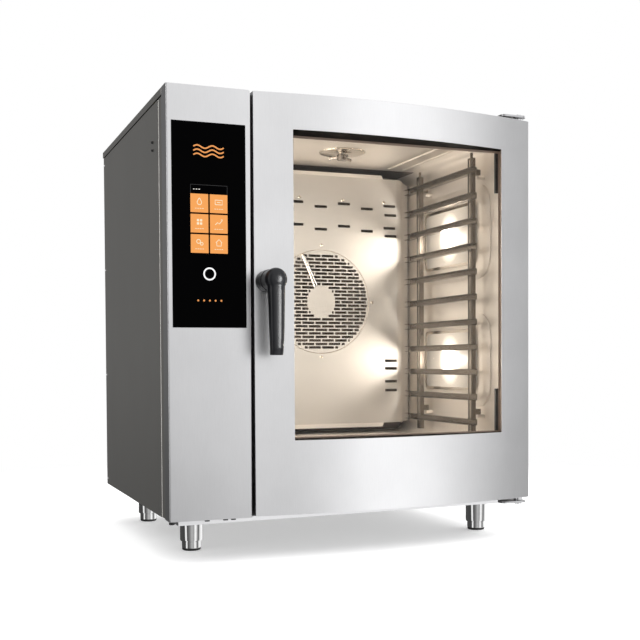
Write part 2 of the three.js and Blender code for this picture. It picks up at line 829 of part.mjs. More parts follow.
// ---------------------------------------------------------------- racks
// One side rack. side is 1 for the right one and -1 for the left one.
function rack(name, side) {
  const out = (distance) => CHAMBER_X + side * distance;
  const across = (d0, d1) => [out(d0), out(d1)].sort((a, b) => a - b);
  const web = RAIL_FACE;
  const parts = [];
  for (const y of POST.y) {
    const alongY = [y, y + POST.width];
    const spigot = [POST.z[1] - 1, POST.z[1] + 14];
    parts.push(block(across(web - 0.2, web + POST.depth), alongY, POST.z));
    parts.push(rodZ(out(web + POST.depth / 2), mid(alongY), 4, spigot, 8));
    // Saddles that sit on the chamber's pegs.
    const saddleX = across(web + POST.depth - 1, web + POST.depth + 15);
    for (const pegZ of PEG_Z) parts.push(block(saddleX, alongY, [pegZ + 5 + FIT, pegZ + 20]));
  }

  // A rail is a channel, open towards the trays.
  const t = SHEET;
  const half = RAIL.height / 2;
  const channel = [
    [web, half],
    [web - RAIL.depth, half],
    [web - RAIL.depth, half - t],
    [web - t, half - t],
    [web - t, t - half],
    [web - RAIL.depth, t - half],
    [web - RAIL.depth, -half],
    [web, -half],
  ];
  for (let i = 0; i < RAIL.count; i++) {
    const z = RAIL.z + i * RAIL.pitch;
    const section = channel.map(([distance, h]) => [out(distance), z + h]);
    if (side < 0) section.reverse();
    parts.push(runBack(polygon(section), RAIL.y));
  }
  piece(name, build(parts), M.polished);
}

// ---------------------------------------------------------------- door
const BOW_CONTROL_Y = DOOR.recess / 2 - 2 * DOOR.bow; // control point of the curve through the bow

// Plan outline of the door, with its bowed front as one curve. inset makes the inside of the skin.
function doorPlan(inset, back) {
  const [x0, x1] = DOOR.x;
  const s = new THREE.Shape();
  s.moveTo(x0 + inset, inset);
  s.quadraticCurveTo(mid(DOOR.x), BOW_CONTROL_Y + inset, x1 - inset, DOOR.recess + inset);
  s.lineTo(x1 - inset, back);
  s.lineTo(x0 + inset, back);
  return s;
}

// Everything in front of the inside of the door's skin.
function doorFrontSpace(inset) {
  const [x0, x1] = DOOR.x;
  const s = new THREE.Shape();
  s.moveTo(x0, inset);
  s.lineTo(x0, -120);
  s.lineTo(x1, -120);
  s.lineTo(x1, DOOR.recess + inset);
  s.quadraticCurveTo(mid(DOOR.x), BOW_CONTROL_Y + inset, x0, inset);
  return s;
}

function door() {
  const back = DOOR.back - 3;
  const windowCut = block(WINDOW.x, [-60, 60], WINDOW.z);
  const pinHole = (z) => rodZ(HINGE.x, HINGE.y, HINGE.pin + FIT, z, 16);
  piece(
    "door_skin",
    build(
      [raise(doorPlan(0, back), DOOR.z, 14)],
      [
        raise(doorPlan(SHEET, back + 5), grow(DOOR.z, -SHEET), 14),
        windowCut,
        pinHole([DOOR.z[0] - 5, DOOR.z[0] + 5]),
        pinHole([DOOR.z[1] - 5, DOOR.z[1] + 5]),
        rodY(LATCH.x, LATCH.z, 7, [-30, 30], 16),
      ],
    ),
    M.casing,
  );

  // Liner of the window opening, from the bowed skin back to the flat outer pane. Its right
  // wall opens out towards the pane.
  const linerBack = OUTER_PANE_Y - FIT;
  const [wx0, wx1] = WINDOW.x;
  const throat = (t, y0, y1) => {
    const s = new THREE.Shape();
    s.moveTo(wx0 - t, y0);
    s.lineTo(wx1 + t, y0);
    s.lineTo(wx1 + t, WINDOW.edgeY);
    s.lineTo(wx1 + t + WINDOW.splay, linerBack + 1);
    s.lineTo(wx1 + t + WINDOW.splay, y1);
    s.lineTo(wx0 - t, y1);
    return raise(s, grow(WINDOW.z, t), 1);
  };
  const flange = 14;
  const outsideThroat = build(
    [block([wx0 - 20, wx1 + 40], [-70, linerBack - 3], grow(WINDOW.z, 20))],
    [throat(SHEET, -80, linerBack + 2)],
  );
  piece(
    "window_liner",
    build(
      [block([wx0 - flange, wx1 + WINDOW.splay + flange], [-50, linerBack], grow(WINDOW.z, flange))],
      [
        throat(0, -60, linerBack + 2),
        outsideThroat,
        raise(doorFrontSpace(SHEET + FIT), grow(DOOR.z, 5), 14),
      ],
    ),
    M.liner,
  );

  const outerX = [wx0 - 12, wx1 + WINDOW.splay + 12];
  const outerY = [OUTER_PANE_Y, OUTER_PANE_Y + 4];
  piece("outer_pane", block(outerX, outerY, grow(WINDOW.z, 12)), M.clearGlass);
  const pane = INNER_PANE;
  piece("inner_pane", block(pane.x, [pane.y, pane.y + pane.t], pane.z), M.clearGlass);

  // Inner frame round the inner pane, with a box section behind it for stiffness.
  const frameX = grow(DOOR.x, -2 * SHEET - FIT);
  const frameZ = grow(DOOR.z, -2 * SHEET - FIT);
  piece(
    "door_inner_frame",
    build(
      [
        block(frameX, [DOOR.back - 2, DOOR.back], frameZ),
        block(grow(pane.x, 16), [DOOR.back - 30, DOOR.back], grow(pane.z, 16)),
      ],
      [
        block(grow(pane.x, 1), [DOOR.back - 40, DOOR.back + 1], grow(pane.z, 1)),
        rodY(LATCH.x, LATCH.z, 7, [DOOR.back - 40, DOOR.back + 5], 16),
      ],
    ),
    M.casing,
  );

  // Dark hinge profiles that carry the inner pane, at its right edge.
  const profile = { x: [859, 869], y: [pane.y - 8 - FIT, pane.y - FIT] };
  piece("pane_hinge_upper", block(profile.x, profile.y, [868, 972]), M.plastic);
  piece("pane_hinge_lower", block(profile.x, profile.y, [262, 376]), M.plastic);

  // Hinges: a bracket on the cabinet above and below the door, and a headed pin through each.
  const hinges = [
    ["top", 1, DOOR.z[1]],
    ["bottom", -1, DOOR.z[0]],
  ];
  for (const [place, s, edge] of hinges) {
    const z = (d0, d1) => [edge + s * d0, edge + s * d1].sort((a, b) => a - b);
    const body = s > 0 ? HEIGHT + FIT : LEG - 1.5;
    const root = [body, edge + s * (HINGE.gap + 1)].sort((a, b) => a - b);
    const plate = roundedRect([862, WIDTH], [HINGE.y - 20, 166], 12);
    piece(
      `hinge_bracket_${place}`,
      build(
        [
          raise(plate, z(HINGE.gap, HINGE.gap + HINGE.plate), 4),
          block([872, WIDTH - 6], [FRAME_Y + 7, 160], root),
        ],
        [rodZ(HINGE.x, HINGE.y, HINGE.pin + FIT, z(HINGE.gap - 1, HINGE.gap + HINGE.plate + 1), 16)],
      ),
      M.bracket,
    );
    const head = HINGE.gap + HINGE.plate + FIT;
    piece(
      `hinge_pin_${place}`,
      build([
        rodZ(HINGE.x, HINGE.y, HINGE.pin, z(-14, head + 1), 16),
        rodZ(HINGE.x, HINGE.y, 9, z(head, head + 4), 16),
        rodZ(HINGE.x, HINGE.y, 11, z(FIT, HINGE.gap - FIT), 16),
      ]),
      M.polished,
    );
  }

  // Handle: a boss on the door, the lever, and the latch bolt on its spindle.
  const skinAtLatch = -3.4;
  const bossReach = 34;
  piece(
    "handle_boss",
    build(
      [rodY(LATCH.x, LATCH.z, 24.5, [skinAtLatch - bossReach, skinAtLatch - FIT], 24)],
      [
        rodY(LATCH.x, LATCH.z, 7, [-40, 10], 16),
        raise(doorPlan(-FIT, 60), around(LATCH.z, 40), 14),
      ],
    ),
    M.plastic,
  );
  const hubY = [-HANDLE_REACH, skinAtLatch - bossReach - FIT];
  const armEnd = LATCH.z - 165;
  const arm = new THREE.Shape();
  arm.moveTo(LATCH.x - 17, LATCH.z);
  arm.quadraticCurveTo(LATCH.x - 17, LATCH.z - 80, LATCH.x - 13.5, armEnd);
  arm.lineTo(LATCH.x + 13.5, armEnd);
  arm.quadraticCurveTo(LATCH.x + 17, LATCH.z - 80, LATCH.x + 17, LATCH.z);
  piece(
    "door_handle",
    build([
      latheY(
        [[0, hubY[0]], [14, hubY[0] + 2], [25, hubY[0] + 13], [25, hubY[1]], [0, hubY[1]]],
        LATCH.x,
        LATCH.z,
      ),
      runBack(arm, [hubY[0] + 3, hubY[0] + 26], 5),
    ]),
    M.plastic,
  );
  piece(
    "latch_bolt",
    latheY(
      [
        [0, hubY[1] + FIT],
        [6, hubY[1] + FIT],
        [6, FRAME_Y + 6],
        [10, FRAME_Y + 12],
        [10, FRAME_Y + 20],
        [6, FRAME_Y + 24],
        [0, FRAME_Y + 24],
      ],
      LATCH.x,
      LATCH.z,
      16,
    ),
    M.polished,
  );
  // Keeper on the back of the front frame: two jaws, open towards the door.
  const jaw = 12;
  const keeperX = around(LATCH.x, 10);
  const keeperFront = FRAME_Y + 2 + FIT;
  piece(
    "latch_keeper",
    build(
      [
        block(keeperX, [keeperFront, FRAME_Y + 34], around(LATCH.z, jaw + 5)),
        block(keeperX, [keeperFront, FRAME_Y + 5], around(LATCH.z, jaw + 20)),
      ],
      [block(around(LATCH.x, 20), [FRAME_Y, FRAME_Y + 30], around(LATCH.z, jaw))],
    ),
    M.bracket,
  );
}

// ---------------------------------------------------------------- base and legs
function base() {
  const slots = [];
  for (let i = 0; i < 6; i++)
    slots.push(block([70 + i * 22, 80 + i * 22], [420, 560], around(BASE.z[0] + 1, 2)));
  piece(
    "base_frame",
    build(
      [block(BASE.x, BASE.y, BASE.z)],
      [
        block(grow(BASE.x, -2), grow(BASE.y, -2), [BASE.z[0] + 2, BASE.z[1] + 1]),
        block([858, 940], [100, 170], [BASE.z[0] - 1, BASE.z[1] + 1]),
        ...slots,
      ],
    ),
    M.casing,
  );

  // Drip tray under the door's lower edge. Its front runs parallel to the line between the ends of the
  // door's front.
  const trayX = [24, 854];
  const trayY = [20, 98];
  const slant = DOOR.recess * ((trayX[1] - trayX[0]) / 889);
  const tray = (inset) =>
    polygon([
      [trayX[0] + inset, trayY[0] + inset],
      [trayX[1] - inset, trayY[0] + slant + inset],
      [trayX[1] - inset, trayY[1] - inset],
      [trayX[0] + inset, trayY[1] - inset],
    ]);
  piece("drip_tray", build([raise(tray(0), [88, 99])], [raise(tray(1.5), [89.5, 100])]), M.casing);

  for (const [place, [x, y]] of Object.entries(LEGS)) {
    const { r, z } = SLEEVE;
    const bore = FOOT.r + 0.8;
    piece(
      `leg_sleeve_${place}`,
      latheZ(
        [
          [0, z[1] - 8],
          [bore, z[1] - 8],
          [bore, z[0]],
          [r - 3, z[0]],
          [r, z[0] + 4],
          [r, z[1] - FIT],
          [0, z[1] - FIT],
        ],
        x,
        y,
      ),
      M.polished,
    );
    piece(
      `foot_${place}`,
      latheZ([[0, 0], [FOOT.r - 3, 0], [FOOT.r, 3], [FOOT.r, FOOT.top], [0, FOOT.top]], x, y),
      M.polished,
    );
  }
}

casing();
controlColumn();
services();
chamber();
airSystem();
rack("rack_right", 1);
rack("rack_left", -1);
door();
base();

oven.position.set(-WIDTH / 2, -(DEPTH + BACK_REACH - HANDLE_REACH) / 2, 0);

export default oven;
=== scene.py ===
"""Looks of the combi steamer oven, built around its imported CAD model."""

import json
import math

import bmesh
import bpy
from mathutils import Matrix, Vector


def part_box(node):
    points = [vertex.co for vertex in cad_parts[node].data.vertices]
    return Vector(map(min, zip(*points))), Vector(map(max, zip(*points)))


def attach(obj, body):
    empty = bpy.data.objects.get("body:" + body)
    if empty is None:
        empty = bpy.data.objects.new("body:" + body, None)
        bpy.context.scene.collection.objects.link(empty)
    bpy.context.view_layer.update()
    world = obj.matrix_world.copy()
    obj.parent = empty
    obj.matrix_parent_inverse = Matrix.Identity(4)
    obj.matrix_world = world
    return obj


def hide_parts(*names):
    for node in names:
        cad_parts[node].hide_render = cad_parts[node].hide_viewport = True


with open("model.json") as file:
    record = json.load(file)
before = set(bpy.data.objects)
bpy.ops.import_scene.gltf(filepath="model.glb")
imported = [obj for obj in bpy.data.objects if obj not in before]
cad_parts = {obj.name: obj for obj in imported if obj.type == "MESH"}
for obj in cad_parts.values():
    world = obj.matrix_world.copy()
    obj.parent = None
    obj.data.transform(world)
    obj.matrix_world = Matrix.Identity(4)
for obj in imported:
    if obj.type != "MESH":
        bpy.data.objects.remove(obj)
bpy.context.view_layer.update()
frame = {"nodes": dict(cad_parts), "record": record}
NODES = frame["nodes"]
BODY_OF = {n: b for b, ns in frame["record"]["behaviour"]["bodies"].items() for n in ns}

MM = 0.001
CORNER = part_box("column_cover")[0]  # the casing's front left lower corner
POST_FRONTS = (183, 481)  # front faces of the rack posts


def at(x, y, z):
    """Millimetres right of and behind the casing's front left corner and above the floor, as a point."""
    return Vector((CORNER.x + x * MM, CORNER.y + y * MM, z * MM))


def middle(node):
    """The middle of a CAD node's box."""
    low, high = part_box(node)
    return (low + high) / 2


def spans(node):
    """A CAD node's reach in x, y and z: three pairs of the millimetres that at() takes."""
    low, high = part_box(node)
    start = (CORNER.x, CORNER.y, 0)
    return [((low[i] - start[i]) / MM, (high[i] - start[i]) / MM) for i in range(3)]


def circle(u, v, radius, count):
    """Points of a circle about (u, v), counter-clockwise."""
    turns = [2 * math.pi * i / count for i in range(count)]
    return [(u + radius * math.cos(a), v + radius * math.sin(a)) for a in turns]


# ------------------------------------------------------------------ camera
def add_camera():
    """A low camera in front of the oven and to its left, turned towards it."""
    yaw, pitch, roll = (math.radians(a) for a in (21.218, -1.556, -0.33))
    ahead = Vector(
        (
            math.sin(yaw) * math.cos(pitch),
            math.cos(yaw) * math.cos(pitch),
            math.sin(pitch),
        )
    )
    level = Vector((math.cos(yaw), -math.sin(yaw), 0))
    lift = level.cross(ahead)
    right = math.cos(roll) * level + math.sin(roll) * lift
    up = -math.sin(roll) * level + math.cos(roll) * lift
    data = bpy.data.cameras.new("camera")
    data.sensor_width = 36
    data.lens = 58.35
    data.shift_y = 0.1094
    data.clip_end = 60
    eye = bpy.data.objects.new("camera", data)
    turn = Matrix((right, up, -ahead)).transposed().to_4x4()
    eye.matrix_world = Matrix.Translation(at(-504, -2202, 446)) @ turn
    bpy.context.scene.collection.objects.link(eye)
    bpy.context.scene.camera = eye


add_camera()


# ------------------------------------------------------------------ node helpers
class Tree:
    """A node tree with short calls for adding and linking nodes."""

    def __init__(self, owner):
        owner.use_nodes = True
        self.tree = owner.node_tree
        self.tree.nodes.clear()

    def add(self, kind, inputs=None, **settings):
        node = self.tree.nodes.new(kind)
        for key, value in settings.items():
            setattr(node, key, value)
        for key, value in (inputs or {}).items():
            self.feed(node.inputs[key], value)
        return node

    def feed(self, socket, value):
        if isinstance(value, bpy.types.NodeSocket):
            self.tree.links.new(value, socket)
        else:
            socket.default_value = value

    def math(self, operation, a, b=0.0, c=0.0, clamp=False):
        inputs = {0: a, 1: b, 2: c}
        return self.add("ShaderNodeMath", inputs, operation=operation, use_clamp=clamp).outputs[0]

    def length(self, x, y):
        """Length of the vector (x, y)."""
        squares = self.math("ADD", self.math("POWER", x, 2.0), self.math("POWER", y, 2.0))
        return self.math("SQRT", squares)

    def split(self, vector):
        """The x, y and z of a vector."""
        return self.add("ShaderNodeSeparateXYZ", {0: vector}).outputs

    def mix(self, factor, a, b, blend="MIX"):
        node = self.add("ShaderNodeMix", data_type="RGBA", blend_type=blend)
        self.feed(node.inputs[0], factor)
        self.feed(node.inputs[6], a)
        self.feed(node.inputs[7], b)
        return node.outputs[2]

    def mix_shaders(self, factor, a, b):
        inputs = {0: factor, 1: a.outputs[0], 2: b.outputs[0]}
        return self.add("ShaderNodeMixShader", inputs).outputs[0]

    def ramp(self, factor, stops):
        """stops are (position, colour) or (position, grey)."""
        node = self.add("ShaderNodeValToRGB", {0: factor})
        elements = node.color_ramp.elements
        while len(elements) < len(stops):
            elements.new(0.5)
        for element, (place, colour) in zip(elements, stops):
            element.position = place
            if isinstance(colour, (int, float)):
                colour = (colour,) * 3
            element.color = (*colour, 1)
        return node.outputs[0]

    def place(self):
        """Coordinates in metres that move with the piece."""
        return self.add("ShaderNodeTexCoord").outputs["Object"]

    def noise(self, scale, stretch=(1, 1, 1), detail=4.0, rough=0.55):
        mapping = self.add("ShaderNodeMapping", {"Vector": self.place(), "Scale": stretch})
        inputs = {"Vector": mapping.outputs[0], "Scale": scale, "Detail": detail, "Roughness": rough}
        return self.add("ShaderNodeTexNoise", inputs).outputs[0]

    def bump(self, height, strength, distance):
        inputs = {"Height": height, "Strength": strength, "Distance": distance}
        return self.add("ShaderNodeBump", inputs).outputs[0]


MATERIALS = {}


def material(name):
    """A new material and its tree, kept under its name."""
    made = bpy.data.materials.new(name)
    tree = Tree(made)
    MATERIALS[name] = made
    return tree


def finish_material(tree, shader):
    out = tree.add("ShaderNodeOutputMaterial")
    tree.tree.links.new(shader, out.inputs["Surface"])


def principled(tree, **inputs):
    names = {
        "color": "Base Color",
        "metal": "Metallic",
        "rough": "Roughness",
        "normal": "Normal",
        "glow": "Emission Color",
        "glow_strength": "Emission Strength",
        "level": "Specular IOR Level",
    }
    shader = tree.add("ShaderNodeBsdfPrincipled", {names[k]: v for k, v in inputs.items()})
    finish_material(tree, shader.outputs[0])


# ------------------------------------------------------------------ materials
def brushed(name, color, rough, stretch, cloud=0.05, foot=1.0):
    """Brushed sheet: fine scratches along one axis, with slow clouds in colour and gloss.

    foot is how bright the sheet is at floor height, against 1 half way up: painted shade that darkens the
    sheet towards the floor.
    """
    t = material(name)
    scratches = t.noise(60, stretch, detail=6, rough=0.7)
    clouds = t.noise(5, detail=3)
    smears = t.noise(14, (1, 1, 0.35), detail=5, rough=0.6)
    dark = [c * (1 - cloud) for c in color]
    light = [min(1, c * (1 + cloud * 0.6)) for c in color]
    base = t.ramp(clouds, [(0.3, dark), (0.7, light)])
    line = t.ramp(scratches, [(0.3, 0.93), (0.7, 1.0)])
    base = t.mix(1.0, base, line, "MULTIPLY")
    # Painted shade: the sheet gets darker towards the floor.
    if foot < 1.0:
        height = t.split(t.place())[2]
        base = t.mix(1.0, base, t.ramp(height, [(0.0, foot), (0.62, 1.0)]), "MULTIPLY")
    gloss = t.math("MULTIPLY_ADD", scratches, 0.10, rough - 0.05)
    gloss = t.math("ADD", gloss, t.math("MULTIPLY", smears, 0.06))
    principled(t, color=base, metal=1.0, rough=gloss, normal=t.bump(scratches, 0.06, 0.0004))


def satin(name, color, rough, metal):
    """Bead-blasted or rolled sheet: an even sheen with a very fine grain and slow clouds."""
    t = material(name)
    clouds = t.noise(4, detail=3)
    fine = t.noise(260, detail=2)
    wipes = t.noise(7, (1, 1, 2.5), detail=5)
    base = t.ramp(clouds, [(0.3, [c * 0.95 for c in color]), (0.7, color)])
    gloss = t.math("MULTIPLY_ADD", wipes, 0.10, rough - 0.05)
    gloss = t.math("ADD", gloss, t.math("MULTIPLY", fine, 0.03))
    principled(t, color=base, metal=metal, rough=gloss, normal=t.bump(fine, 0.02, 0.0002))


def polished(name, color, rough):
    """Bright drawn metal with faint wipe marks."""
    t = material(name)
    wipes = t.noise(25, (1, 1, 3), detail=5)
    gloss = t.math("MULTIPLY_ADD", wipes, 0.14, rough - 0.05)
    base = t.ramp(wipes, [(0.25, [c * 0.93 for c in color]), (0.75, color)])
    principled(t, color=base, metal=1.0, rough=gloss, normal=t.bump(wipes, 0.03, 0.0005))


def plastic(name, color, rough, grain=900, bump=0.12, level=0.5):
    """Moulded plastic, rubber or paint with a fine grain."""
    t = material(name)
    fine = t.noise(grain, detail=3)
    wear = t.noise(18, detail=4)
    gloss = t.math("MULTIPLY_ADD", wear, 0.16, rough - 0.08)
    base = t.ramp(wear, [(0.3, [c * 0.85 for c in color]), (0.7, color)])
    normal = t.bump(fine, bump, 0.0003)
    principled(t, color=base, metal=0.0, rough=gloss, normal=normal, level=level)


def glowing(name, color, strength):
    """A lit surface, slightly uneven."""
    t = material(name)
    uneven = t.noise(40, detail=2)
    glow = t.ramp(uneven, [(0.2, [c * 0.94 for c in color]), (0.8, color)])
    principled(t, color=(0.02, 0.02, 0.02, 1), rough=0.3, glow=glow, glow_strength=strength)


def lamp_lens(name):
    """Frosted lamp glass: brightest over the bulb in its middle, dim and milky at its rim."""
    t = material(name)
    box = t.split(t.add("ShaderNodeTexCoord").outputs["Generated"])
    across = t.math("MULTIPLY", t.math("SUBTRACT", box[1], 0.5), 2.0)
    upward = t.math("SUBTRACT", box[2], 0.5)
    reach = t.length(across, upward)
    frost = t.noise(120, detail=3)
    reach = t.math("ADD", reach, t.math("MULTIPLY", t.math("SUBTRACT", frost, 0.5), 0.04))
    stops = [(0.0, 1.0), (0.1, 0.55), (0.22, 0.12), (0.45, 0.03), (1.0, 0.012)]
    power = t.math("MULTIPLY", t.ramp(reach, stops), 12.0)
    milky, warm = (0.30, 0.265, 0.225, 1), (1.0, 0.93, 0.84, 1)
    principled(t, color=milky, rough=0.35, glow=warm, glow_strength=power)


def clear_glass(name, tint, gloss):
    """Thin clear sheet: what is behind shows straight through, with a Fresnel reflection on it."""
    t = material(name)
    smears = t.noise(9, (1, 1, 2), detail=6)
    haze = t.ramp(smears, [(0.35, [c * 0.985 for c in tint]), (0.65, tint)])
    through = t.add("ShaderNodeBsdfTransparent", {"Color": haze})
    mirror = t.add("ShaderNodeBsdfGlossy", {"Roughness": 0.02})
    edge = t.add("ShaderNodeFresnel", {"IOR": 1.45}).outputs[0]
    finish_material(t, t.mix_shaders(t.math("MULTIPLY", edge, gloss), through, mirror))


def make_materials():
    upright = (30, 30, 0.6)
    across = (0.6, 30, 30)
    brushed("front_steel", (0.79, 0.79, 0.80), 0.27, upright)
    # The column's steel is the door's steel painted darker, and darker still towards the floor: painted
    # shade.
    brushed("column_steel_painted_shade", (0.72, 0.72, 0.73), 0.27, upright, foot=0.73)
    brushed("side_steel", (0.62, 0.605, 0.572), 0.30, upright, cloud=0.02)
    brushed("frame_steel", (0.6, 0.6, 0.6), 0.36, across)
    brushed("bracket_steel", (0.5, 0.5, 0.51), 0.3, across)
    brushed("tray_steel", (0.74, 0.74, 0.75), 0.3, across)
    satin("chamber_steel", (0.90, 0.84, 0.775), 0.32, 0.62)
    satin("baffle_steel", (0.67, 0.638, 0.60), 0.56, 0.76)
    # Near-white, almost without metal: painted light for the baffle's lips.
    satin("lip_steel_painted_light", (0.98, 0.95, 0.91), 0.45, 0.05)
    # Near-black steel behind the baffle: painted shade for the unlit space there.
    satin("back_steel_painted_shade", (0.16, 0.13, 0.11), 0.5, 0.7)
    # Rack steel much darker than the chamber's steel: painted shade on the rails.
    satin("rack_steel_painted_shade", (0.20, 0.172, 0.145), 0.2, 0.9)
    satin("nozzle_steel", (0.36, 0.33, 0.30), 0.22, 1.0)
    # Flat brown without metal: painted reflection of the warm chamber in the window's steel reveal.
    plastic("reveal_brown", (0.27, 0.2, 0.155), 0.4, grain=300)
    polished("polished_steel", (0.72, 0.72, 0.73), 0.14)
    polished("warm_steel", (0.78, 0.72, 0.64), 0.18)
    polished("leg_steel", (0.64, 0.64, 0.64), 0.07)
    plastic("handle_plastic", (0.004, 0.0042, 0.0055), 0.3, bump=0.02, level=0.36)
    plastic("black_rubber", (0.012, 0.012, 0.012), 0.65, grain=500)
    plastic("grey_plastic", (0.05, 0.05, 0.052), 0.5)
    plastic("liner_black", (0.008, 0.007, 0.006), 0.7, level=0.05)
    plastic("seal_silicone", (0.10, 0.092, 0.085), 0.55, grain=300)
    plastic("glass_black", (0.0007, 0.0007, 0.0008), 0.1, bump=0.0, level=0.01)
    plastic("wool", (0.55, 0.47, 0.28), 0.95, grain=220, bump=0.9)
    plastic("board_green", (0.02, 0.10, 0.04), 0.5)
    plastic("slot_shadow", (0.02, 0.016, 0.012), 0.8)
    polished("brass", (0.69, 0.5, 0.22), 0.28)
    polished("cast_aluminium", (0.6, 0.61, 0.62), 0.42)
    polished("heater_steel", (0.24, 0.20, 0.18), 0.4)
    glowing("tile_orange", (1.0, 0.37, 0.05), 0.9)
    glowing("icon_cream", (1.0, 0.86, 0.60), 0.95)
    glowing("icon_white", (1.0, 0.95, 0.88), 0.95)
    glowing("mark_orange", (1.0, 0.36, 0.06), 0.85)
    glowing("ring_white", (1.0, 1.0, 1.0), 1.0)
    plastic("bar_black", (0.001, 0.001, 0.0012), 0.2, bump=0.0, level=0.0)
    plastic("outline_grey", (0.03, 0.03, 0.03), 0.4, bump=0.0, level=0.1)
    lamp_lens("lamp_glow")
    clear_glass("window_glass", (0.97, 0.965, 0.955), 0.2)
    clear_glass("inner_glass", (0.97, 0.965, 0.955), 0.12)


make_materials()


# ------------------------------------------------------------------ mesh helpers
def paint(obj, name):
    obj.data.materials.clear()
    obj.data.materials.append(MATERIALS[name])


def from_bmesh(name, bm, body, finish, angle=35):
    """Makes a painted piece that rides on a body. Edges sharper than angle stay sharp."""
    bmesh.ops.recalc_face_normals(bm, faces=bm.faces)
    mesh = bpy.data.meshes.new(name)
    bm.to_mesh(mesh)
    bm.free()
    made = bpy.data.objects.new(name, mesh)
    bpy.context.scene.collection.objects.link(made)
    paint(made, finish)
    mesh.shade_smooth()
    mesh.set_sharp_from_angle(angle=math.radians(angle))
    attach(made, body)
    return made


def bevel(obj, width):
    made = obj.modifiers.new("edges", "BEVEL")
    made.width = width * MM
    made.segments = 2
    made.limit_method = "ANGLE"
    made.angle_limit = math.radians(40)
    made.harden_normals = True


def round_uprights(bm, node, corners, radius):
    """Rounds the upright edges of a sheet at given corners of its box. Corners are pairs of -1 or 1."""
    low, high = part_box(node)
    edges = []
    for edge in bm.edges:
        a, b = (v.co for v in edge.verts)
        if (a - b).to_2d().length > 1e-5:
            continue
        for side, front in corners:
            x = high.x if side > 0 else low.x
            y = high.y if front > 0 else low.y
            if math.hypot(a.x - x, a.y - y) < 1e-4:
                edges.append(edge)
    bmesh.ops.bevel(bm, geom=edges, offset=radius * MM, segments=6, profile=0.5, affect="EDGES")


def softened(node, finish, width=0.0, corners=(), radius=4.0):
    """Stands for a CAD node: its own shape with flat faces joined and edges rounded."""
    bm = bmesh.new()
    bm.from_mesh(NODES[node].data)
    bmesh.ops.remove_doubles(bm, verts=bm.verts, dist=1e-6)
    bmesh.ops.dissolve_limit(bm, angle_limit=math.radians(0.3), verts=bm.verts, edges=bm.edges)
    if corners:
        round_uprights(bm, node, corners, radius)
    made = from_bmesh(node + "_look", bm, BODY_OF[node], finish)
    if width:
        bevel(made, width)
    if corners:
        even = made.modifiers.new("flat_faces_stay_flat", "WEIGHTED_NORMAL")
        even.keep_sharp = True
    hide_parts(node)


def bridge(bm, rings, closed=False):
    """Joins each ring of vertices to the next with faces. A ring of one vertex is a point."""
    pairs = list(zip(rings, rings[1:]))
    if closed:
        pairs.append((rings[-1], rings[0]))
    for low, high in pairs:
        count = max(len(low), len(high))
        for i in range(count):
            j = (i + 1) % count
            corners = [low[i % len(low)], low[j % len(low)]]
            corners += [high[j % len(high)], high[i % len(high)]]
            corners = list(dict.fromkeys(corners))
            if len(corners) > 2:
                bm.faces.new(corners)


def lathe(bm, profile, centre, axis="Z", segments=48, closed=False):
    """Adds a turned solid. profile is (radius, height) pairs in mm, from one end on the axis to the other.

    A closed profile, whose last pair joins its first, makes a ring instead.
    """
    rings = []
    for radius, height in profile:
        ring = []
        for a, b in circle(0, 0, radius, segments):
            offset = {"X": (height, a, b), "Y": (a, height, b), "Z": (a, b, height)}[axis]
            ring.append(bm.verts.new(centre + Vector(offset) * MM))
            if radius < 1e-6:
                break
        rings.append(ring)
    bridge(bm, rings, closed)


def plate(bm, outline, depth, to_world):
    """Adds a prism. outline is 2-D points in mm, and to_world(u, v, w) gives a point for w in 0..depth."""
    near = [bm.verts.new(to_world(u, v, 0)) for u, v in outline]
    far = [bm.verts.new(to_world(u, v, depth)) for u, v in outline]
    bm.faces.new(near)
    bm.faces.new(far[::-1])
    n = len(outline)
    for i in range(n):
        j = (i + 1) % n
        bm.faces.new((near[j], near[i], far[i], far[j]))


def rounded(u0, u1, v0, v1, r, steps=4):
    """Corner points of a rounded rectangle, counter-clockwise."""
    points = []
    corners = [(u1 - r, v0 + r, -90), (u1 - r, v1 - r, 0), (u0 + r, v1 - r, 90), (u0 + r, v0 + r, 180)]
    for cu, cv, start in corners:
        for i in range(steps + 1):
            a = math.radians(start + 90 * i / steps)
            points.append((cu + r * math.cos(a), cv + r * math.sin(a)))
    return points


def stroke(points, width):
    """A flat ribbon outline of a given width along 2-D points."""
    left, right = [], []
    for i, (u, v) in enumerate(points):
        a = points[max(i - 1, 0)]
        b = points[min(i + 1, len(points) - 1)]
        du, dv = b[0] - a[0], b[1] - a[1]
        size = math.hypot(du, dv) or 1
        nu, nv = -dv / size * width / 2, du / size * width / 2
        left.append((u + nu, v + nv))
        right.append((u - nu, v - nv))
    return right + left[::-1]


def sheet_with_holes(name, outer, holes, thickness, to_world):
    """A flat plate with holes as a mesh: the curve fill makes the faces. 2-D points are in mm."""
    data = bpy.data.curves.new(name, "CURVE")
    data.dimensions = "2D"
    data.fill_mode = "BOTH"
    data.extrude = thickness / 2
    for points in [outer, *holes]:
        spline = data.splines.new("POLY")
        spline.points.add(len(points) - 1)
        for point, (u, v) in zip(spline.points, points):
            point.co = (u, v, 0, 1)
        spline.use_cyclic_u = True
    source = bpy.data.objects.new(name + "_outline", data)
    bpy.context.scene.collection.objects.link(source)
    bpy.context.view_layer.update()
    graph = bpy.context.evaluated_depsgraph_get()
    mesh = bpy.data.meshes.new_from_object(source.evaluated_get(graph))
    bpy.data.objects.remove(source)
    mesh.name = name
    for vertex in mesh.vertices:
        vertex.co = to_world(*vertex.co)
    bm = bmesh.new()
    bm.from_mesh(mesh)
    bpy.data.meshes.remove(mesh)
    bmesh.ops.remove_doubles(bm, verts=bm.verts, dist=1e-6)
    return bm


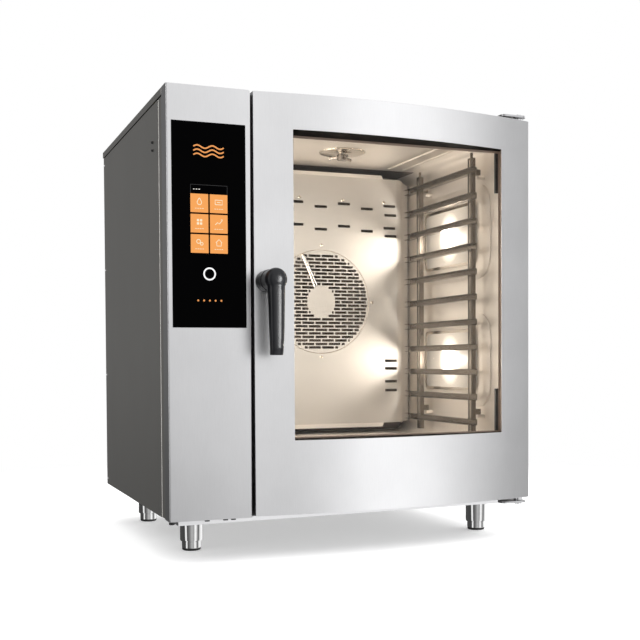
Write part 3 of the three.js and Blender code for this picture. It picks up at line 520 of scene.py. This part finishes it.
def tube(bm, points, radius, sides=10, closed=False):
    """Adds a round bar along points in metres. radius is in mm."""
    n = len(points)
    rings = []
    side = None
    for i, p in enumerate(points):
        ahead = points[(i + 1) % n] if closed or i < n - 1 else p
        behind = points[i - 1] if closed or i > 0 else p
        along = (ahead - behind).normalized()
        if side is None:
            side = along.orthogonal().normalized()
        side = (side - along * side.dot(along)).normalized()
        other = along.cross(side)
        ring = []
        for k in range(sides):
            a = 2 * math.pi * k / sides
            ring.append(bm.verts.new(p + (side * math.cos(a) + other * math.sin(a)) * radius * MM))
        rings.append(ring)
    bridge(bm, rings, closed)
    if not closed:
        bm.faces.new(rings[0][::-1])
        bm.faces.new(rings[-1])


def front_plane(y):
    """to_world for drawings that face the front: u to the right, v up, w back, all in mm."""
    return lambda u, v, w: at(u, y + w, v)


# ------------------------------------------------------------------ casing
def make_casing():
    """Looks for the CAD nodes whose shape stays, with their edges softened where that shows."""
    softened("column_cover", "column_steel_painted_shade", 0.6, corners=[(-1, -1), (1, -1)], radius=4.0)
    softened("left_side_panel", "side_steel", 0.5, corners=[(-1, -1), (-1, 1)], radius=4.0)
    softened("front_post_left", "side_steel", 0.4, corners=[(-1, -1), (-1, 1)], radius=3.0)
    for node, finish, width in [
        ("right_side_panel", "side_steel", 1.2),
        ("top_cover", "side_steel", 0.8),
        ("rear_panel", "side_steel", 0.3),
        ("front_frame", "chamber_steel", 0.0),
        ("base_frame", "frame_steel", 0.4),
        ("drip_tray", "tray_steel", 0.5),
        ("door_skin", "front_steel", 1.0),
        ("door_inner_frame", "frame_steel", 0.5),
        ("window_liner", "liner_black", 0.4),
        ("hinge_bracket_top", "bracket_steel", 0.6),
        ("hinge_bracket_bottom", "bracket_steel", 0.6),
        ("hinge_pin_top", "polished_steel", 0.3),
        ("hinge_pin_bottom", "polished_steel", 0.3),
        ("exhaust_stack", "side_steel", 0.3),
        ("rack_left", "rack_steel_painted_shade", 0.4),
        ("rack_right", "rack_steel_painted_shade", 0.4),
        ("chamber_shell", "chamber_steel", 0.6),
        # The chamber's back and the fan wheel are painted near black: painted shade.
        ("chamber_back", "back_steel_painted_shade", 0.0),
        ("door_seal", "seal_silicone", 0.8),
        ("spray_plate", "warm_steel", 0.3),
        ("spray_head", "nozzle_steel", 0.4),
        ("drain_sieve", "warm_steel", 0.4),
        ("injection_pipe", "warm_steel", 0.0),
        ("fan_wheel", "back_steel_painted_shade", 0.0),
        ("heating_element", "heater_steel", 0.0),
        ("fan_motor", "cast_aluminium", 0.6),
        ("lamp_housing_upper", "cast_aluminium", 0.4),
        ("lamp_housing_lower", "cast_aluminium", 0.4),
        ("cooling_fan_frame", "grey_plastic", 0.6),
        ("cooling_fan_rotor", "grey_plastic", 0.3),
        ("drain_box", "grey_plastic", 0.8),
        ("cable_gland", "grey_plastic", 0.5),
        ("water_valve_raw", "brass", 0.5),
        ("water_valve_treated", "brass", 0.5),
        ("pane_hinge_upper", "grey_plastic", 1.5),
        ("pane_hinge_lower", "grey_plastic", 1.5),
        ("latch_bolt", "polished_steel", 0.3),
        ("latch_keeper", "bracket_steel", 0.4),
        ("handle_boss", "handle_plastic", 0.8),
        ("display_module", "glass_black", 0.4),
        ("control_board", "board_green", 0.2),
        ("control_glass", "glass_black", 0.4),
    ]:
        softened(node, finish, width)
    for node, finish in [
        ("insulation_wrap", "wool"),
        ("outer_pane", "window_glass"),
        ("inner_pane", "inner_glass"),
        ("lamp_glass_upper", "lamp_glow"),
        ("lamp_glass_lower", "lamp_glow"),
    ]:
        paint(NODES[node], finish)


make_casing()


# ------------------------------------------------------------------ control panel
def make_controls():
    """What shows through the control glass: the display, the touch ring and the marks."""
    face = spans("control_glass")[1][0]

    def drawing(name, outlines, finish, lift):
        bm = bmesh.new()
        for outline in outlines:
            plate(bm, outline, 0.12, front_plane(face - lift))
        from_bmesh(name, bm, "cabinet", finish)

    # Display: a dark bar above two columns of three tiles.
    (left, right), _, (foot, top) = spans("display_module")
    left, right, foot = left + 1.5, right - 1.5, foot + 3
    bar = top - 20
    drawing("display_rim", [rounded(left, right, bar, top, 1)], "outline_grey", 0.13)
    drawing("display_bar", [rounded(left + 0.9, right - 0.9, bar, top - 0.9, 0.6)], "bar_black", 0.17)
    gap = 3.6
    column = (right - left - gap) / 2
    rows = 3
    tall = (bar - foot - gap * (rows - 1)) / rows
    tiles = []
    centres = []
    for i in range(2):
        for j in range(rows):
            u = left + i * (column + gap)
            v = foot + j * (tall + gap)
            tiles.append(rounded(u, u + column, v, v + tall, 0.8))
            centres.append((u + column / 2, v + tall * 0.58))
    drawing("display_tiles", tiles, "tile_orange", 0.2)

    # Simple pictograms, each with a short caption line of dashes.
    icons = []
    for k, (u, v) in enumerate(centres):
        icons += [[(u + a, v + b) for a, b in line] for line in pictogram(k)]
        for dash in range(4):
            start = u - 10 + dash * 5.2
            icons.append(rounded(start, start + 3.8, v - 15.2, v - 14, 0.4, 2))
    drawing("display_icons", icons, "icon_cream", 0.45)
    starts = [left + 6 + i * 6 for i in range(3)]
    status = [rounded(u, u + 3.5, bar + 9, bar + 10.6, 0.5, 2) for u in starts]
    drawing("display_status", status, "icon_white", 0.3)

    # Touch ring below the display.
    ring_u = (left + right) / 2
    ring_v = foot - 45
    bm = bmesh.new()
    profile = [(14.2, 0), (10.8, 0), (10.8, 0.12), (14.2, 0.12)]
    lathe(bm, profile, at(ring_u, face - 0.2, ring_v), "Y", closed=True)
    from_bmesh("touch_ring", bm, "cabinet", "ring_white")

    # Steam mark: three rising waves, drawn lying down across the top of the glass.
    waves = []
    for k in range(3):
        level = top + 64 + 9 * k
        turns = [i / 24 for i in range(25)]
        line = [(ring_u - 34 + 68 * t, level + 3.2 * math.sin(t * 4 * math.pi)) for t in turns]
        waves.append(stroke(line, 3.0))
    drawing("steam_mark", waves, "mark_orange", 0.2)
    dots = [circle(ring_u - 26 + 13 * k, ring_v - 58, 2.1, 16) for k in range(5)]
    drawing("level_dots", dots, "mark_orange", 0.2)


def pictogram(k):
    """Outlines of a small generic symbol, in mm about its middle."""
    w = 1.5
    if k == 0:  # two circles: settings
        rings = [circle(-2.5, 1.5, 4.2, 20), circle(4.5, -3.5, 3.0, 20)]
        return [stroke(ring + ring[:1], w) for ring in rings]
    if k == 1:  # four squares: programs
        return [rounded(a, a + 5, b, b + 5, 0.6, 2) for a in (-6, 1) for b in (-6, 1)]
    if k == 2:  # drop: steam
        drop = [(0, 8), (3, 3.5), (5, -1), (4, -5), (0, -7), (-4, -5), (-5, -1), (-3, 3.5), (0, 8)]
        return [stroke(drop, w)]
    if k == 3:  # house shape: home
        return [stroke([(-7, 0), (0, 7), (7, 0)], w), stroke([(-5, 0), (-5, -7), (5, -7), (5, 0)], w)]
    if k == 4:  # rising line: course of a program
        return [stroke([(-8, -5), (-3, 0), (1, -3), (8, 5)], w), rounded(4.5, 8.5, 5.5, 7, 0.3, 2)]
    return [stroke([(-8, -5), (-8, 5), (8, 5), (8, -5), (-8, -5)], w), stroke([(-4, 0), (4, 0)], w)]


make_controls()


# ------------------------------------------------------------------ handle
def make_handle():
    """Lever with a domed knob, remeshed so that the knob runs smoothly into the arm."""
    low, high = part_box("door_handle")
    knob_radius = (high.x - low.x) / 2
    knob_centre = Vector(((low.x + high.x) / 2, low.y, high.z - knob_radius))
    depth = (high.y - low.y) / MM
    dome = [(0, 0), (8, 0.7), (16, 3.2), (21.5, 7.6), (24.3, 13.5), (24.9, 20), (24, 30)]
    bm = bmesh.new()
    lathe(bm, dome + [(23.6, depth), (0, depth)], knob_centre, "Y", 64)

    # Arm: rounded sections from the knob down, as (height below the knob, half width, front, back).
    sections = [
        (-6, 17.5, 4, 36),
        (12, 19.6, 2.6, 34),
        (26, 19.4, 1.8, 31),
        (42, 18.6, 1.8, 29),
        (70, 17.8, 2.2, 27.5),
        (100, 17.3, 2.6, 26.5),
        (130, 16.2, 3.2, 26),
        (150, 15.2, 4.4, 25.5),
        (164.5, 14.8, 9.5, 25),
    ]
    rings = []
    for drop, half, near, far in sections:
        ring = []
        for c, s in circle(0, 0, 1, 28):
            power = 1.0 if s < 0 else 0.6
            u = half * math.copysign(abs(c) ** 0.8, c)
            w = (near + far) / 2 + (far - near) / 2 * math.copysign(abs(s) ** power, s)
            ring.append(bm.verts.new(knob_centre + Vector((u, w, -drop)) * MM))
        rings.append(ring)
    bridge(bm, rings)
    bm.faces.new(rings[0][::-1])
    bm.faces.new(rings[-1])
    made = from_bmesh("lever", bm, "door_handle", "handle_plastic", 60)
    remesh = made.modifiers.new("one_skin", "REMESH")
    remesh.mode = "VOXEL"
    remesh.voxel_size = 1.3 * MM
    remesh.use_smooth_shade = True
    smooth = made.modifiers.new("blend", "SMOOTH")
    smooth.factor = 0.5
    smooth.iterations = 10
    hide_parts("door_handle")
    return made


LEVER = make_handle()


# ------------------------------------------------------------------ fan baffle
def make_baffle():
    """Air baffle with its fine grille, in place of the coarser CAD sheet."""
    _, (face, _), (bottom, top) = spans("fan_baffle")
    fan = middle("fan_wheel")
    fan_u = (fan.x - CORNER.x) / MM
    fan_v = fan.z / MM
    half = 238  # half the width of the flat part
    bottom, top = bottom + 13, top - 13
    outer = [(fan_u - half, bottom), (fan_u + half, bottom), (fan_u + half, top), (fan_u - half, top)]
    holes = grille_holes(fan_u, fan_v) + air_holes(fan_u)
    bm = sheet_with_holes("baffle", outer, holes, 1.2, front_plane(face + 0.7))

    # Sides bent back in a wide curve, as (outwards, backwards) along the front and back along the rear.
    front = [(0, 0), (6, 0.8), (12, 3), (17.5, 7), (22, 12), (27, 20), (32, 30), (77, 84)]
    rear = [(75.5, 85), (30.6, 31), (25.6, 21), (20.7, 13), (16.4, 8.2), (11.3, 4.4), (5.6, 2.2), (0, 1.4)]
    for side in (-1, 1):
        path = [(fan_u + side * (half + out), face + 0.6 + back) for out, back in front + rear]
        plate(bm, path, top - bottom, lambda u, v, w: at(u, v, bottom + w))
    made = from_bmesh("baffle", bm, "cabinet", "baffle_steel")
    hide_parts("fan_baffle")

    # Slanted lips above and below, in near-white steel: painted light that makes them bright.
    lip_half = 195
    section = [(0, -1), (11.5, 12.5), (12.5, 11.8), (1.3, -1.2)]
    bm = bmesh.new()
    for edge, up in ((top, 1), (bottom, -1)):
        path = [(face + back, edge + up * out) for back, out in section]
        plate(bm, path, 2 * lip_half, lambda u, v, w: at(fan_u - lip_half + w, u, v))
    from_bmesh("baffle_lips", bm, "cabinet", "lip_steel_painted_light")

    # Raised bead round the grille, and the screws that hold the baffle.
    bm = bmesh.new()
    bead = [at(u, face - 0.2, v) for u, v in circle(fan_u, fan_v, 147, 96)]
    tube(bm, bead, 0.8, 8, closed=True)
    from_bmesh("grille_bead", bm, "cabinet", "warm_steel")
    places = [(-64, 910.5), (67, 908), (196, 908), (1.5, 777.5), (158, 617), (-0.4, 460)]
    heads = [at(fan_u + u, face, v) for u, v in places]
    screws("baffle_screws", heads, "Y", -1, 4.2, "warm_steel")


def screw(bm, centre, axis, way, radius):
    """A domed screw head with a recess. way is the side that it faces along the axis."""
    recess = [(0, 0.6), (0.35, 0.6), (0.42, 1.9)]
    dome = [(0.75, 1.6), (1, 0.5), (1, -0.8), (0, -0.8)]
    profile = [(radius * share, way * height) for share, height in recess + dome]
    lathe(bm, profile, centre, axis, 16)


def screws(name, places, axis, way, radius, finish, body="cabinet"):
    """One piece of screw heads at places in metres."""
    bm = bmesh.new()
    for place in places:
        screw(bm, place, axis, way, radius)
    from_bmesh(name, bm, body, finish)


def grille_holes(fan_u, fan_v):
    """Fine slots in a brick pattern between the hub and the rim."""
    rim, hub = 143, 42
    pitch, step = 10, 40  # between rows, and along a row
    length, tall = 36, 7.0
    holes = []
    for row in range(-14, 15):
        v = row * pitch
        reach = math.sqrt(max(rim**2 - (abs(v) + tall / 2) ** 2, 0))
        inner = math.sqrt(max(hub**2 - max(abs(v) - tall / 2, 0) ** 2, 0))
        shift = step / 2 if row % 2 else 0
        v0, v1 = fan_v + v - tall / 2, fan_v + v + tall / 2
        for k in range(-4, 5):
            slot_u = k * step + shift
            a, b = max(slot_u - length / 2, -reach), min(slot_u + length / 2, reach)
            parts = [(a, b)] if inner == 0 else [(a, min(b, -inner)), (max(a, inner), b)]
            for start, end in parts:
                if end - start > 4:
                    holes.append(rounded(fan_u + start, fan_u + end, v0, v1, 1.0, 2))
    return holes


def air_holes(fan_u):
    """Slots in two rows along the top, and down both sides."""
    length, tall = 38, 7.8
    places = []
    for k in (-3, -2, -1, 0, 1, 2, 3):
        lower = 887 if k % 2 == 0 else 898
        places += [(k * 71.5, lower), (k * 71.5, lower - 64)]
    for k in (-3, 3):
        places += [(k * 72.6, v) for v in (871.5, 811, 448, 425.5, 388, 362)]
    holes = []
    for u, v in places:
        u0, u1 = fan_u + u - length / 2, fan_u + u + length / 2
        holes.append(rounded(u0, u1, v - tall / 2, v + tall / 2, 1.2, 2))
    return holes


make_baffle()


# ------------------------------------------------------------------ legs
def make_legs():
    """Turned sleeves, and the stems and rubber pads of the feet."""
    for place in ("front_left", "front_right", "back_left", "back_right"):
        low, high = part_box("leg_sleeve_" + place)
        centre = Vector(((low.x + high.x) / 2, (low.y + high.y) / 2, 0))
        z0, z1 = low.z / MM, high.z / MM
        r = (high.x - low.x) / 2 / MM
        bore = 23.6
        inside = [(0, z1 - 8), (bore, z1 - 8), (bore, z0)]
        outside = [(r - 2.6, z0), (r - 1.2, z0 + 0.8), (r, z0 + 3.6), (r, z1 - 1), (r - 0.8, z1), (0, z1)]
        bm = bmesh.new()
        lathe(bm, inside + outside, centre, segments=64)
        sleeve = from_bmesh("sleeve_" + place, bm, "cabinet", "leg_steel")
        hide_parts("leg_sleeve_" + place)

        body = "foot_" + place
        low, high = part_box(body)
        z1 = high.z / MM
        r = (high.x - low.x) / 2 / MM
        bm = bmesh.new()
        rod = [(0, 6), (r - 0.5, 6), (r, 6.6), (r, z1 - 1), (r - 1, z1), (0, z1)]
        lathe(bm, rod, centre, segments=64)
        stem = from_bmesh("stem_" + place, bm, body, "leg_steel")
        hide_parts(body)
        bm = bmesh.new()
        pad = [(0, 0), (r - 4, 0), (r - 1.6, 0.8), (r - 0.4, 2.6), (r - 0.3, 5.4), (r - 1, 6), (0, 6)]
        lathe(bm, pad, centre, segments=64)
        from_bmesh("pad_" + place, bm, body, "black_rubber")


make_legs()


# ------------------------------------------------------------------ small parts
def make_front_details():
    """Side screws, stops below the column, the strip of painted shade in the gap and the window's dark
    border.
    """
    heads = [at(0, 139.5, v) for v in (945, 927)]
    screws("side_screws", heads, "X", -1, 3.2, "black_rubber")

    # Rubber stop and tabs below the control column.
    bm = bmesh.new()
    lathe(bm, [(0, 93), (6, 93), (6.5, 95), (6.5, 99.8), (0, 99.8)], at(8, 12, 0), segments=20)
    for u in (87, 129, 147):
        plate(bm, rounded(u - 5, u + 5, 8, 16, 1), 3.5, lambda a, b, w: at(a, b, 96 + w))
    from_bmesh("lower_stops", bm, "cabinet", "black_rubber")

    # A black strip in the gap between the control column and the door: painted shade for the dark gap.
    gap_left, gap_right = 189.2, 192.4
    corners = [(gap_left, 20), (gap_right, 20), (gap_right, 98), (gap_left, 98)]
    bm = bmesh.new()
    plate(bm, corners, 938, lambda u, v, w: at(u, v, 104 + w))
    from_bmesh("gap_shade_strip", bm, "cabinet", "black_rubber")

    # Edge trim of the window: a thin dark strip along the skin's opening.
    (u0, u1), _, (v0, v1) = spans("outer_pane")
    u0, u1, v0, v1 = u0 + 12, u1 - 12, v0 + 12, v1 - 12
    outer = [(u0 - 1, v0 - 1), (u1 + 1, v0 - 1), (u1 + 1, v1 + 1), (u0 - 1, v1 + 1)]
    inner = [(u0 + 1, v0 + 3), (u1 - 5, v0 + 3), (u1 - 5, v1 - 5.5), (u0 + 1, v1 - 5.5)]
    bm = sheet_with_holes("window_border", outer, [inner], 0.4, front_plane(49.4))
    # The border is in the reveal's brown: painted reflection.
    from_bmesh("window_border", bm, "door", "reveal_brown")


def make_reveal():
    """Brown on the splayed right wall of the window opening: painted reflection of the warm chamber in the
    steel reveal.
    """
    (_, right), _, (bottom, top) = spans("outer_pane")
    edge = right - 22
    bottom, top = bottom + 12.5, top - 12.5
    near, far = 26, 49
    outline = [(edge - 0.2, near), (edge + 9.4, far), (edge + 9.8, far), (edge + 0.2, near)]
    bm = bmesh.new()
    plate(bm, outline, top - bottom, lambda u, v, w: at(u, v, bottom + w))
    from_bmesh("window_reveal", bm, "door", "reveal_brown")


def make_lamp_frames():
    """Steel frames round the two lamp glasses."""
    for place in ("upper", "lower"):
        (x, _), (y0, y1), (z0, z1) = spans("lamp_glass_" + place)
        name = "lamp_frame_" + place
        outer = rounded(y0 - 3, y1 + 3, z0 - 3, z1 + 3, 16)
        inner = rounded(y0 + 5, y1 - 5, z0 + 5, z1 - 5, 12)
        bm = sheet_with_holes(name, outer, [inner], 1.2, lambda u, v, w: at(x - 0.7 + w, u, v))
        from_bmesh(name, bm, "cabinet", "warm_steel")


def make_post_highlight_and_shade():
    """A strip of painted highlight for a bright edge and a strip of painted shade for a dark groove, up the
    inner face of each rack post.
    """
    bottom, tall = 256, 712
    for side, way in (("left", -1), ("right", 1)):
        reach, _, _ = spans("rack_" + side)
        face = (reach[0] if side == "right" else reach[1]) + way * 17.8
        bright = bmesh.new()
        dark = bmesh.new()
        for y in POST_FRONTS:
            # The bright strips are painted highlight and the dark strips are painted shade.
            for bm, y0, y1 in ((bright, y + 6, y + 10), (dark, y + 11, y + 15)):
                ends = [(face - way * 0.5, y0), (face, y0), (face, y1), (face - way * 0.5, y1)]
                plate(bm, ends, tall, lambda u, v, w: at(u, v, bottom + w))
        from_bmesh("post_highlight_strip_" + side, bright, "rack_" + side, "warm_steel")
        from_bmesh("post_groove_shade_" + side, dark, "rack_" + side, "slot_shadow")


def make_ceiling_and_pipes():
    """Pressed ribs, a plate of painted shade over the rear part of the chamber's ceiling, and the two thin
    water pipes.
    """
    ceiling = 1005
    bm = bmesh.new()
    for u in (314, 362, 782, 830):
        tube(bm, [at(u, 124, ceiling), at(u, 548, ceiling)], 3.2)
    from_bmesh("ceiling_ribs", bm, "cabinet", "chamber_steel")

    low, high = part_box("injection_pipe")
    top = Vector((low.x + 10 * MM, low.y + 3.5 * MM, high.z - 12 * MM))
    end = Vector((high.x + 4 * MM, low.y + 3.5 * MM, low.z + 6 * MM))
    apart = Vector((7, 0, 0)) * MM
    bm = bmesh.new()
    tube(bm, [top, end], 2.0)
    tube(bm, [top - apart, end - apart], 2.0)
    from_bmesh("water_pipes", bm, "cabinet", "polished_steel")

    # A thin dark plate on the ceiling behind the baffle's lip: painted shade.
    u0, u1 = 264, 880
    y0 = spans("fan_baffle")[1][1] - 68
    y1 = spans("chamber_back")[1][0] - 2
    bm = bmesh.new()
    plate(bm, [(u0, y0), (u1, y0), (u1, y1), (u0, y1)], 0.8, lambda u, v, w: at(u, v, ceiling - 1.4 + w))
    from_bmesh("ceiling_shade", bm, "cabinet", "back_steel_painted_shade")


def even(start, end, count):
    """count numbers spread evenly from start to end."""
    return [start + (end - start) * k / (count - 1) for k in range(count)]


def border(us, vs):
    """Places along the four sides of a grid: the whole first and last row, then the ends of the others."""
    rows = [(u, v) for u in us for v in (vs[0], vs[-1])]
    return rows + [(u, v) for v in vs[1:-1] for u in (us[0], us[-1])]


def make_panel_screws():
    """Screws round the rear panel and the inside of the door, and down the sides."""
    (x0, x1), (_, back), (z0, z1) = spans("rear_panel")
    grid = border(even(x0 + 14, x1 - 14, 5), even(z0 + 14, z1 - 14, 5))
    screws("rear_screws", [at(u, back, v) for u, v in grid], "Y", 1, 3.6, "polished_steel")

    for side, way in (("left", -1), ("right", 1)):
        (x0, x1), (y0, y1), (z0, z1) = spans(side + "_side_panel")
        rows = [(x0, y1 - 16)] if way < 0 else [(x1, y1 - 16), (x1, y0 + 16)]
        heads = [at(x, y, z) for x, y in rows for z in even(z0 + 16, z1 - 22, 4)]
        screws("panel_screws_" + side, heads, "X", way, 3.2, "polished_steel")

    (x0, x1), (_, y), (z0, z1) = spans("door_inner_frame")
    grid = border(even(x0 + 15, x1 - 15, 4), even(z0 + 15, z1 - 15, 4))
    heads = [at(u, y, v) for u, v in grid]
    screws("door_screws", heads, "Y", 1, 3.2, "polished_steel", "door")


def make_rear_details():
    """The rear fan's finger guard, a blank data plate and the bonding bolt."""
    back = spans("rear_panel")[1][1]

    # Finger guard: rings on four spokes.
    fan = middle("cooling_fan_frame")
    u, v = (fan.x - CORNER.x) / MM, fan.z / MM
    plane = back + 2.2
    bm = bmesh.new()
    for radius in (14, 26, 38, 50, 61):
        ring = [at(a, plane, b) for a, b in circle(u, v, radius, 48)]
        tube(bm, ring, 0.9, 6, closed=True)
    for k in range(4):
        a = math.radians(45 + 90 * k)
        tube(bm, [at(u + r * math.cos(a), plane + 0.6, v + r * math.sin(a)) for r in (8, 66)], 1.1, 6)
        screw(bm, at(u + 66 * math.cos(a), back, v + 66 * math.sin(a)), "Y", 1, 4.2)
    from_bmesh("finger_guard", bm, "cabinet", "polished_steel")

    bm = bmesh.new()
    plate(bm, rounded(620, 740, 540, 610, 3), 0.8, front_plane(back))
    from_bmesh("data_plate", bm, "cabinet", "cast_aluminium")
    bm = bmesh.new()
    washer = [(0, 0), (9, 0), (9, 1.4)]
    bolt = [(6, 1.5), (6, 6), (3, 6.2), (3, 14), (0, 14)]
    lathe(bm, washer + bolt, at(180, back, 150), "Y", 6)
    from_bmesh("bonding_bolt", bm, "cabinet", "brass")


def make_top_details():
    """A collar round the exhaust, and screws along the top cover's rear edge."""
    low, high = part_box("exhaust_stack")
    pipe = middle("exhaust_stack")
    radius = (high.x - low.x) / 2 / MM
    _, (_, rear), (_, top) = spans("top_cover")
    collar = [(radius + 0.2, 0), (radius + 14, 0), (radius + 14, 0.8), (radius + 3, 1.6), (radius + 0.2, 5)]
    bm = bmesh.new()
    lathe(bm, collar, Vector((pipe.x, pipe.y, top * MM)), closed=True)
    from_bmesh("exhaust_collar", bm, "cabinet", "frame_steel")
    heads = [at(u, rear - 22, top) for u in even(30, 903, 6)]
    screws("top_screws", heads, "Z", 1, 3.4, "polished_steel")


make_front_details()
make_reveal()
make_lamp_frames()
make_post_highlight_and_shade()
make_ceiling_and_pipes()
make_panel_screws()
make_rear_details()
make_top_details()


# ------------------------------------------------------------------ stage and light
# The room that mirrors see: degrees round from straight out of the oven's front, positive towards
# its right side, then how bright the room is there above and below the horizon.
ROOM = [
    (-180, 0.19, 0.11),
    (-110, 0.10, 0.0877),
    (-86, 0.10, 0.08),
    (-80, 2.0, 1.4),
    (-66, 2.0, 1.4),
    (-60, 0.12, 0.1),
    (-36, 0.3, 0.25),
    (-8, 1.15, 0.72),
    (3, 1.05, 0.6),
    (14, 0.8, 0.55),
    (24, 1.5, 1.5),
    (36, 1.46, 1.42),
    (46, 1.02, 0.86),
    (57, 0.4, 0.3),
    (66, 0.2, 0.1),
    (76, 1.2, 0.8),
    (100, 2.2, 1.5),
    (112, 2.0, 1.5),
    (138, 1.7, 1.2),
    (150, 0.35, 0.2),
    (180, 0.19, 0.11),
]
WHITE = (1, 1, 1, 1)


def by_direction(t, x, y, row):
    """Brightness of the room towards the direction (x, y), from one row of ROOM."""
    turn = t.math("ARCTAN2", x, t.math("MULTIPLY", y, -1.0))
    place = t.math("MULTIPLY_ADD", turn, 0.5 / math.pi, 0.5)
    return t.ramp(place, [((stop[0] + 180) / 360, stop[row]) for stop in ROOM])


def make_stage():
    """Pale floor that fades into the backdrop. Mirrors see the room's lower half in its place."""
    mesh = bpy.data.meshes.new("floor")
    size = 14
    corners = [(-size, -size, 0), (size, -size, 0), (size, size, 0), (-size, size, 0)]
    mesh.from_pydata(corners, [], [(0, 1, 2, 3)])
    floor = bpy.data.objects.new("floor", mesh)
    bpy.context.scene.collection.objects.link(floor)
    t = material("floor")
    grain = t.noise(3, detail=2)
    base = t.ramp(grain, [(0.3, 0.80), (0.7, 0.81)])
    inputs = {
        "Base Color": base,
        "Roughness": 0.8,
        "Specular IOR Level": 0.0,
        "Emission Color": WHITE,
        "Emission Strength": 0.335,
    }
    cloth = t.add("ShaderNodeBsdfPrincipled", inputs)
    x, y, _ = t.split(t.place())
    fade = t.ramp(t.math("MULTIPLY", t.length(x, y), 0.25), [(0.25, 0.0), (0.5, 1.0)])
    white = t.add("ShaderNodeEmission", {"Color": WHITE, "Strength": 1.0})
    finish_material(t, t.mix_shaders(fade, cloth, white))
    floor.data.materials.append(MATERIALS["floor"])
    floor.visible_glossy = False


def make_world():
    """White backdrop. Mirrors see the room instead, with a soft white ceiling."""
    world = bpy.data.worlds.new("studio")
    bpy.context.scene.world = world
    t = Tree(world)
    x, y, z = t.split(t.add("ShaderNodeTexCoord").outputs["Generated"])
    level = by_direction(t, x, y, 1)
    below = by_direction(t, x, y, 2)
    sinking = t.math("MULTIPLY", z, -7.0, clamp=True)  # complete 8 degrees below the horizon
    around = t.mix(sinking, level, below)
    height = t.math("MULTIPLY", z, 1.0, clamp=True)
    above = t.ramp(height, [(0.45, 0.0), (0.85, 1.0)])
    room = t.mix(above, around, WHITE)
    studio_light = t.add("ShaderNodeBackground", {"Color": room, "Strength": 1.0})
    white = t.add("ShaderNodeBackground", {"Color": WHITE, "Strength": 1.0})
    seen = t.add("ShaderNodeLightPath").outputs["Is Camera Ray"]
    out = t.add("ShaderNodeOutputWorld")
    t.tree.links.new(t.mix_shaders(seen, studio_light, white), out.inputs["Surface"])
    bpy.context.scene.view_settings.view_transform = "Standard"


def add_light(name, kind, place, power, color):
    data = bpy.data.lights.new(name, kind)
    data.energy = power
    data.color = color
    light = bpy.data.objects.new(name, data)
    light.location = place
    light.visible_camera = False
    bpy.context.scene.collection.objects.link(light)
    return light


def area_light(name, place, target, size, power, color=(1, 1, 1)):
    light = add_light(name, "AREA", place, power, color)
    light.data.shape = "RECTANGLE"
    light.data.size, light.data.size_y = size
    light.rotation_euler = (target - place).to_track_quat("-Z", "Y").to_euler()
    return light


def make_lights():
    """Soft studio light from above, a key and a fill, and the light inside the chamber."""
    centre = at(466, 400, 560)
    for light in (
        area_light("key", at(3000, -1200, 2300), centre, (4.0, 4.0), 62),
        area_light("top", at(466, 400, 3400), centre, (9.0, 9.0), 215),
        area_light("fill", at(-2200, -1800, 1800), centre, (2.0, 2.0), 12),
    ):
        light.visible_glossy = False

    # A strip softbox that lights the lever alone.
    grip = at(222, -80, 540)
    strip = area_light("handle_strip", at(1000, -1400, 600), grip, (0.4, 0.8), 24)
    lit = bpy.data.collections.new("strip_receivers")
    lit.objects.link(LEVER)
    strip.light_linking.receiver_collection = lit

    # The chamber: a soft face and a small bulb at each lamp, and two faint fills.
    warm = (1.0, 0.95, 0.88)
    right, behind = Vector((1, 0, 0)), Vector((0, 1, 0))
    for node in ("lamp_glass_upper", "lamp_glass_lower"):
        low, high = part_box(node)
        lamp = Vector((low.x - 0.006, (low.y + high.y) / 2, (low.z + high.z) / 2))
        area_light(node + "_light", lamp, lamp - right, (0.07, 0.05), 0.35, warm)
        bulb = add_light(node + "_bulb", "POINT", lamp - right * 0.002, 1.25, warm)
        bulb.data.shadow_soft_size = 0.012
    mouth = at(572, 118, 620)
    area_light("mouth_fill", mouth, mouth + behind, (0.5, 0.6), 0.22, warm)
    wall = at(300, 330, 620)
    area_light("wall_fill", wall, wall + right, (0.4, 0.6), 5.0, warm)


make_stage()
make_world()
make_lights()
